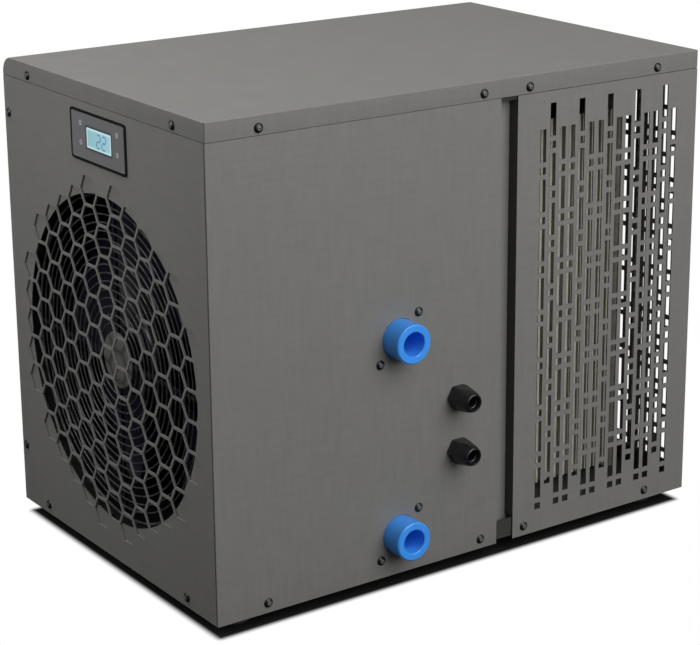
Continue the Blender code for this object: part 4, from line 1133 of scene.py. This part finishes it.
class HEATPUMP_OT_display(bpy.types.Operator):
    """Build the display: its film with the window, the lit digits and four touch marks"""

    bl_idname = "heatpump.display"
    bl_label = "Display"

    def execute(self, context):
        low, high, middle = measure("display_face")

        def spot(u, v, lift=0.0):
            return Vector((low.x - lift, middle.y - u, middle.z + v))

        glass_low, glass_high = glass_box()
        wide, tall = glass_high.y - glass_low.y, glass_high.z - glass_low.z
        glass = (glass_low + glass_high) / 2
        across, up = middle.y - glass.y, glass.z - middle.z
        gap = 0.0004
        rim = [spot(u, v) for u, v in rounded_rectangle(high.y - low.y, high.z - low.z, 0.0015)]
        hole = [spot(u + across, v + up) for u, v in rounded_rectangle(wide + gap, tall + gap, 0.0006)]
        break_edges(plates("display_film", [[rim, hole]], high.x - low.x, "film",
                           ["display_face"]), 0.0002)
        pane = [spot(u + across, v + up, low.x - glass_low.x)
                for u, v in rounded_rectangle(wide, tall, 0.0005)]
        plates("display_pane", [[pane]], glass_high.x - glass_low.x, "lit",
               ["display_window"])
        finish_nodes("black_plastic", "display_box")
        for name, finish, slot, outlines in (
                ("display_digits", "digits", "display_glass", self.digits()),
                ("display_marks", "marks", "display_grey", self.marks())):
            loops = [[[spot(*point, PRINT_LIFT) for point in loop] for loop in outline]
                     for outline in outlines]
            plates(name, loops, PRINT_THICKNESS, finish)
        return {"FINISHED"}

    def digits(self):
        """Outlines of the digits 22 in slightly slanted bars."""
        outlines = []
        for u, v in DIGIT_PLACES:
            for ends in DIGIT_TWO:
                a, b = (Vector((x * DIGIT_WIDTH, y * DIGIT_HEIGHT)) for x, y in ends)
                half = (b - a).normalized() * DIGIT_BAR / 2
                a, b = a + half * 0.7, b - half * 0.7
                side = Vector((-half.y, half.x))
                outline = [a, a + half + side, b - half + side, b, b - half - side, a + half - side]
                outlines.append([[(u + p.x + p.y * DIGIT_SLANT, v + p.y) for p in outline]])
        return outlines

    def marks(self):
        """Outlines of the touch marks: a thin ring with a short bar in it."""
        outlines = []
        for u, v in MARK_PLACES:
            outlines.append([arc((u, v), radius, 0, 350, 35) for radius in (0.0021, 0.0015)])
            bar = rounded_rectangle(0.0009, 0.0022, 0.0003)
            outlines.append([[(u + x, v + y) for x, y in bar]])
        return outlines


# Stage


class HEATPUMP_OT_stage(bpy.types.Operator):
    """Set the camera, the lamps, the white floor with its painted contact shadow and the even light
    all round
    """

    bl_idname = "heatpump.stage"
    bl_label = "Stage"

    def execute(self, context):
        settings = context.scene.heatpump_stage
        context.scene.view_settings.view_transform = "Standard"
        self.camera(context.scene, settings.lens)
        self.world(context.scene, settings.fill)
        self.floor()
        self.lamp("key_lamp", (0.25, -1.5, 1.15), (0.0, 0.0, 0.2), 1.7, settings.key)
        self.lamp("side_lamp", (-0.80, 0.12, 0.56), (-0.24, 0.05, 0.25), 0.3, settings.side)
        self.lamp("top_lamp", (-0.35, 0.75, 1.9), (0.0, 0.05, 0.3), 1.2, settings.top)
        return {"FINISHED"}

    def camera(self, scene, lens):
        """The photograph's viewpoint, solved from the cabinet's edges."""
        data = bpy.data.cameras.new("photo_camera")
        data.lens = lens
        data.sensor_width = 36.0
        data.sensor_fit = "HORIZONTAL"
        data.shift_x = -0.08356
        data.shift_y = -0.07067
        data.clip_start, data.clip_end = 0.05, 60.0
        forward = Vector((0.566, 0.7747, -0.2819)).normalized()
        right = Vector((0.8073, -0.5901, -0.0009))
        right = (right - forward * right.dot(forward)).normalized()
        up = right.cross(forward)
        turn = Matrix((right, up, -forward)).transposed().to_4x4()
        scene.camera = link("photo_camera", data)
        scene.camera.matrix_world = Matrix.Translation((-0.9892, FRONT - 1.27235, 0.7221)) @ turn

    def world(self, scene, fill):
        """Even light, white where the camera sees it."""
        world = bpy.data.worlds.new("even_light")
        world.use_nodes = True
        tree = world.node_tree
        background = tree.nodes["Background"]
        background.inputs["Color"].default_value = (1.0, 1.0, 1.0, 1.0)
        path = add_node(tree, "LightPath", {}).outputs
        seen = math_node(tree, "MAXIMUM", path["Is Camera Ray"], path["Is Transmission Ray"])
        level = map_range(tree, seen, 0.0, 1.0, fill, 1.0, "LINEAR")
        tree.links.new(level, background.inputs["Strength"])
        scene.world = world

    def floor(self):
        """A wide white floor with a painted contact shadow: camera rays see a near-black floor colour
        in and just round the cabinet's footprint, and white further out.
        """
        bm = bmesh.new()
        bmesh.ops.create_circle(bm, cap_ends=True, segments=96, radius=12.0)
        floor = link_mesh("floor", bm)
        floor.location = (0, 0, -0.0002)
        material = bpy.data.materials.new("White floor with painted contact shadow")
        material.use_nodes = True
        tree = material.node_tree
        shader = tree.nodes["Principled BSDF"]
        path = add_node(tree, "LightPath", {}).outputs
        seen = math_node(tree, "MAXIMUM", path["Is Camera Ray"], path["Is Glossy Ray"])
        # Painted shadow: the floor colour that camera and glossy rays see is near black, darker than
        # what light bounces off.
        colour = mix_colour(tree, seen, (0.06, 0.06, 0.06, 1.0), (0.02, 0.02, 0.02, 1.0))
        feed(tree, shader.inputs["Base Color"], colour)
        feed(tree, shader.inputs["Roughness"], 0.9)
        feed(tree, shader.inputs["Specular IOR Level"], 0.0)
        inset, fade = 0.006, 0.008
        half = ((RIGHT - LEFT) / 2 - inset, (BACK - FRONT) / 2 - inset, 1.0)
        distance = box_distance(tree, (0, (FRONT + BACK) / 2, 0), half)
        far = map_range(tree, distance, 0.0, fade)
        white = math_node(tree, "MULTIPLY", far, path["Is Camera Ray"])
        glow = add_node(tree, "Emission", {}).outputs[0]
        mixed = add_node(tree, "MixShader", {0: white, 1: shader.outputs[0], 2: glow}).outputs[0]
        tree.links.new(mixed, tree.nodes["Material Output"].inputs["Surface"])
        floor.data.materials.append(material)

    def lamp(self, name, spot, target, size, power):
        """A square soft lamp that looks at a point."""
        data = bpy.data.lights.new(name, "AREA")
        data.shape = "SQUARE"
        data.size = size
        data.energy = power
        turn = (Vector(target) - Vector(spot)).to_track_quat("-Z", "Y").to_matrix().to_4x4()
        link(name, data).matrix_world = Matrix.Translation(spot) @ turn


class HEATPUMP_OT_finishes(bpy.types.Operator):
    """Build the materials from the colours in the panel"""

    bl_idname = "heatpump.finishes"
    bl_label = "Finishes"

    def execute(self, context):
        make_finishes(context.scene.heatpump_finishes)
        return {"FINISHED"}


# Panel and registration


STEPS = (
    HEATPUMP_OT_finishes,
    HEATPUMP_OT_cabinet,
    HEATPUMP_OT_lid,
    HEATPUMP_OT_screws,
    HEATPUMP_OT_fan,
    HEATPUMP_OT_evaporator,
    HEATPUMP_OT_stubs,
    HEATPUMP_OT_glands,
    HEATPUMP_OT_feet,
    HEATPUMP_OT_display,
    HEATPUMP_OT_stage,
)
SETTINGS = {
    "heatpump_finishes": FinishSettings,
    "heatpump_cabinet": CabinetSettings,
    "heatpump_screws": ScrewSettings,
    "heatpump_fan": FanSettings,
    "heatpump_stage": StageSettings,
}


class HEATPUMP_PT_panel(bpy.types.Panel):
    """The steps and the settings of the heat pump"""

    bl_label = "Pool Heat Pump"
    bl_idname = "HEATPUMP_PT_panel"
    bl_space_type = "VIEW_3D"
    bl_region_type = "UI"
    bl_category = "Heat Pump"

    def draw(self, context):
        for step in STEPS:
            self.layout.operator(step.bl_idname)
        for holder in SETTINGS:
            box = self.layout.box()
            settings = getattr(context.scene, holder)
            for name in settings.__annotations__:
                box.prop(settings, name)


def register():
    """Register the settings, the operators and the panel."""
    for holder, settings in SETTINGS.items():
        bpy.utils.register_class(settings)
        setattr(bpy.types.Scene, holder, bpy.props.PointerProperty(type=settings))
    for step in STEPS:
        bpy.utils.register_class(step)
    bpy.utils.register_class(HEATPUMP_PT_panel)


def unregister():
    """Take everything back that register added."""
    bpy.utils.unregister_class(HEATPUMP_PT_panel)
    for step in reversed(STEPS):
        bpy.utils.unregister_class(step)
    for holder, settings in SETTINGS.items():
        delattr(bpy.types.Scene, holder)
        bpy.utils.unregister_class(settings)


def main():
    """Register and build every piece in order."""
    register()
    for step in STEPS:
        group, name = step.bl_idname.split(".")
        getattr(getattr(bpy.ops, group), name)()


if __name__ == "__main__":
    main()
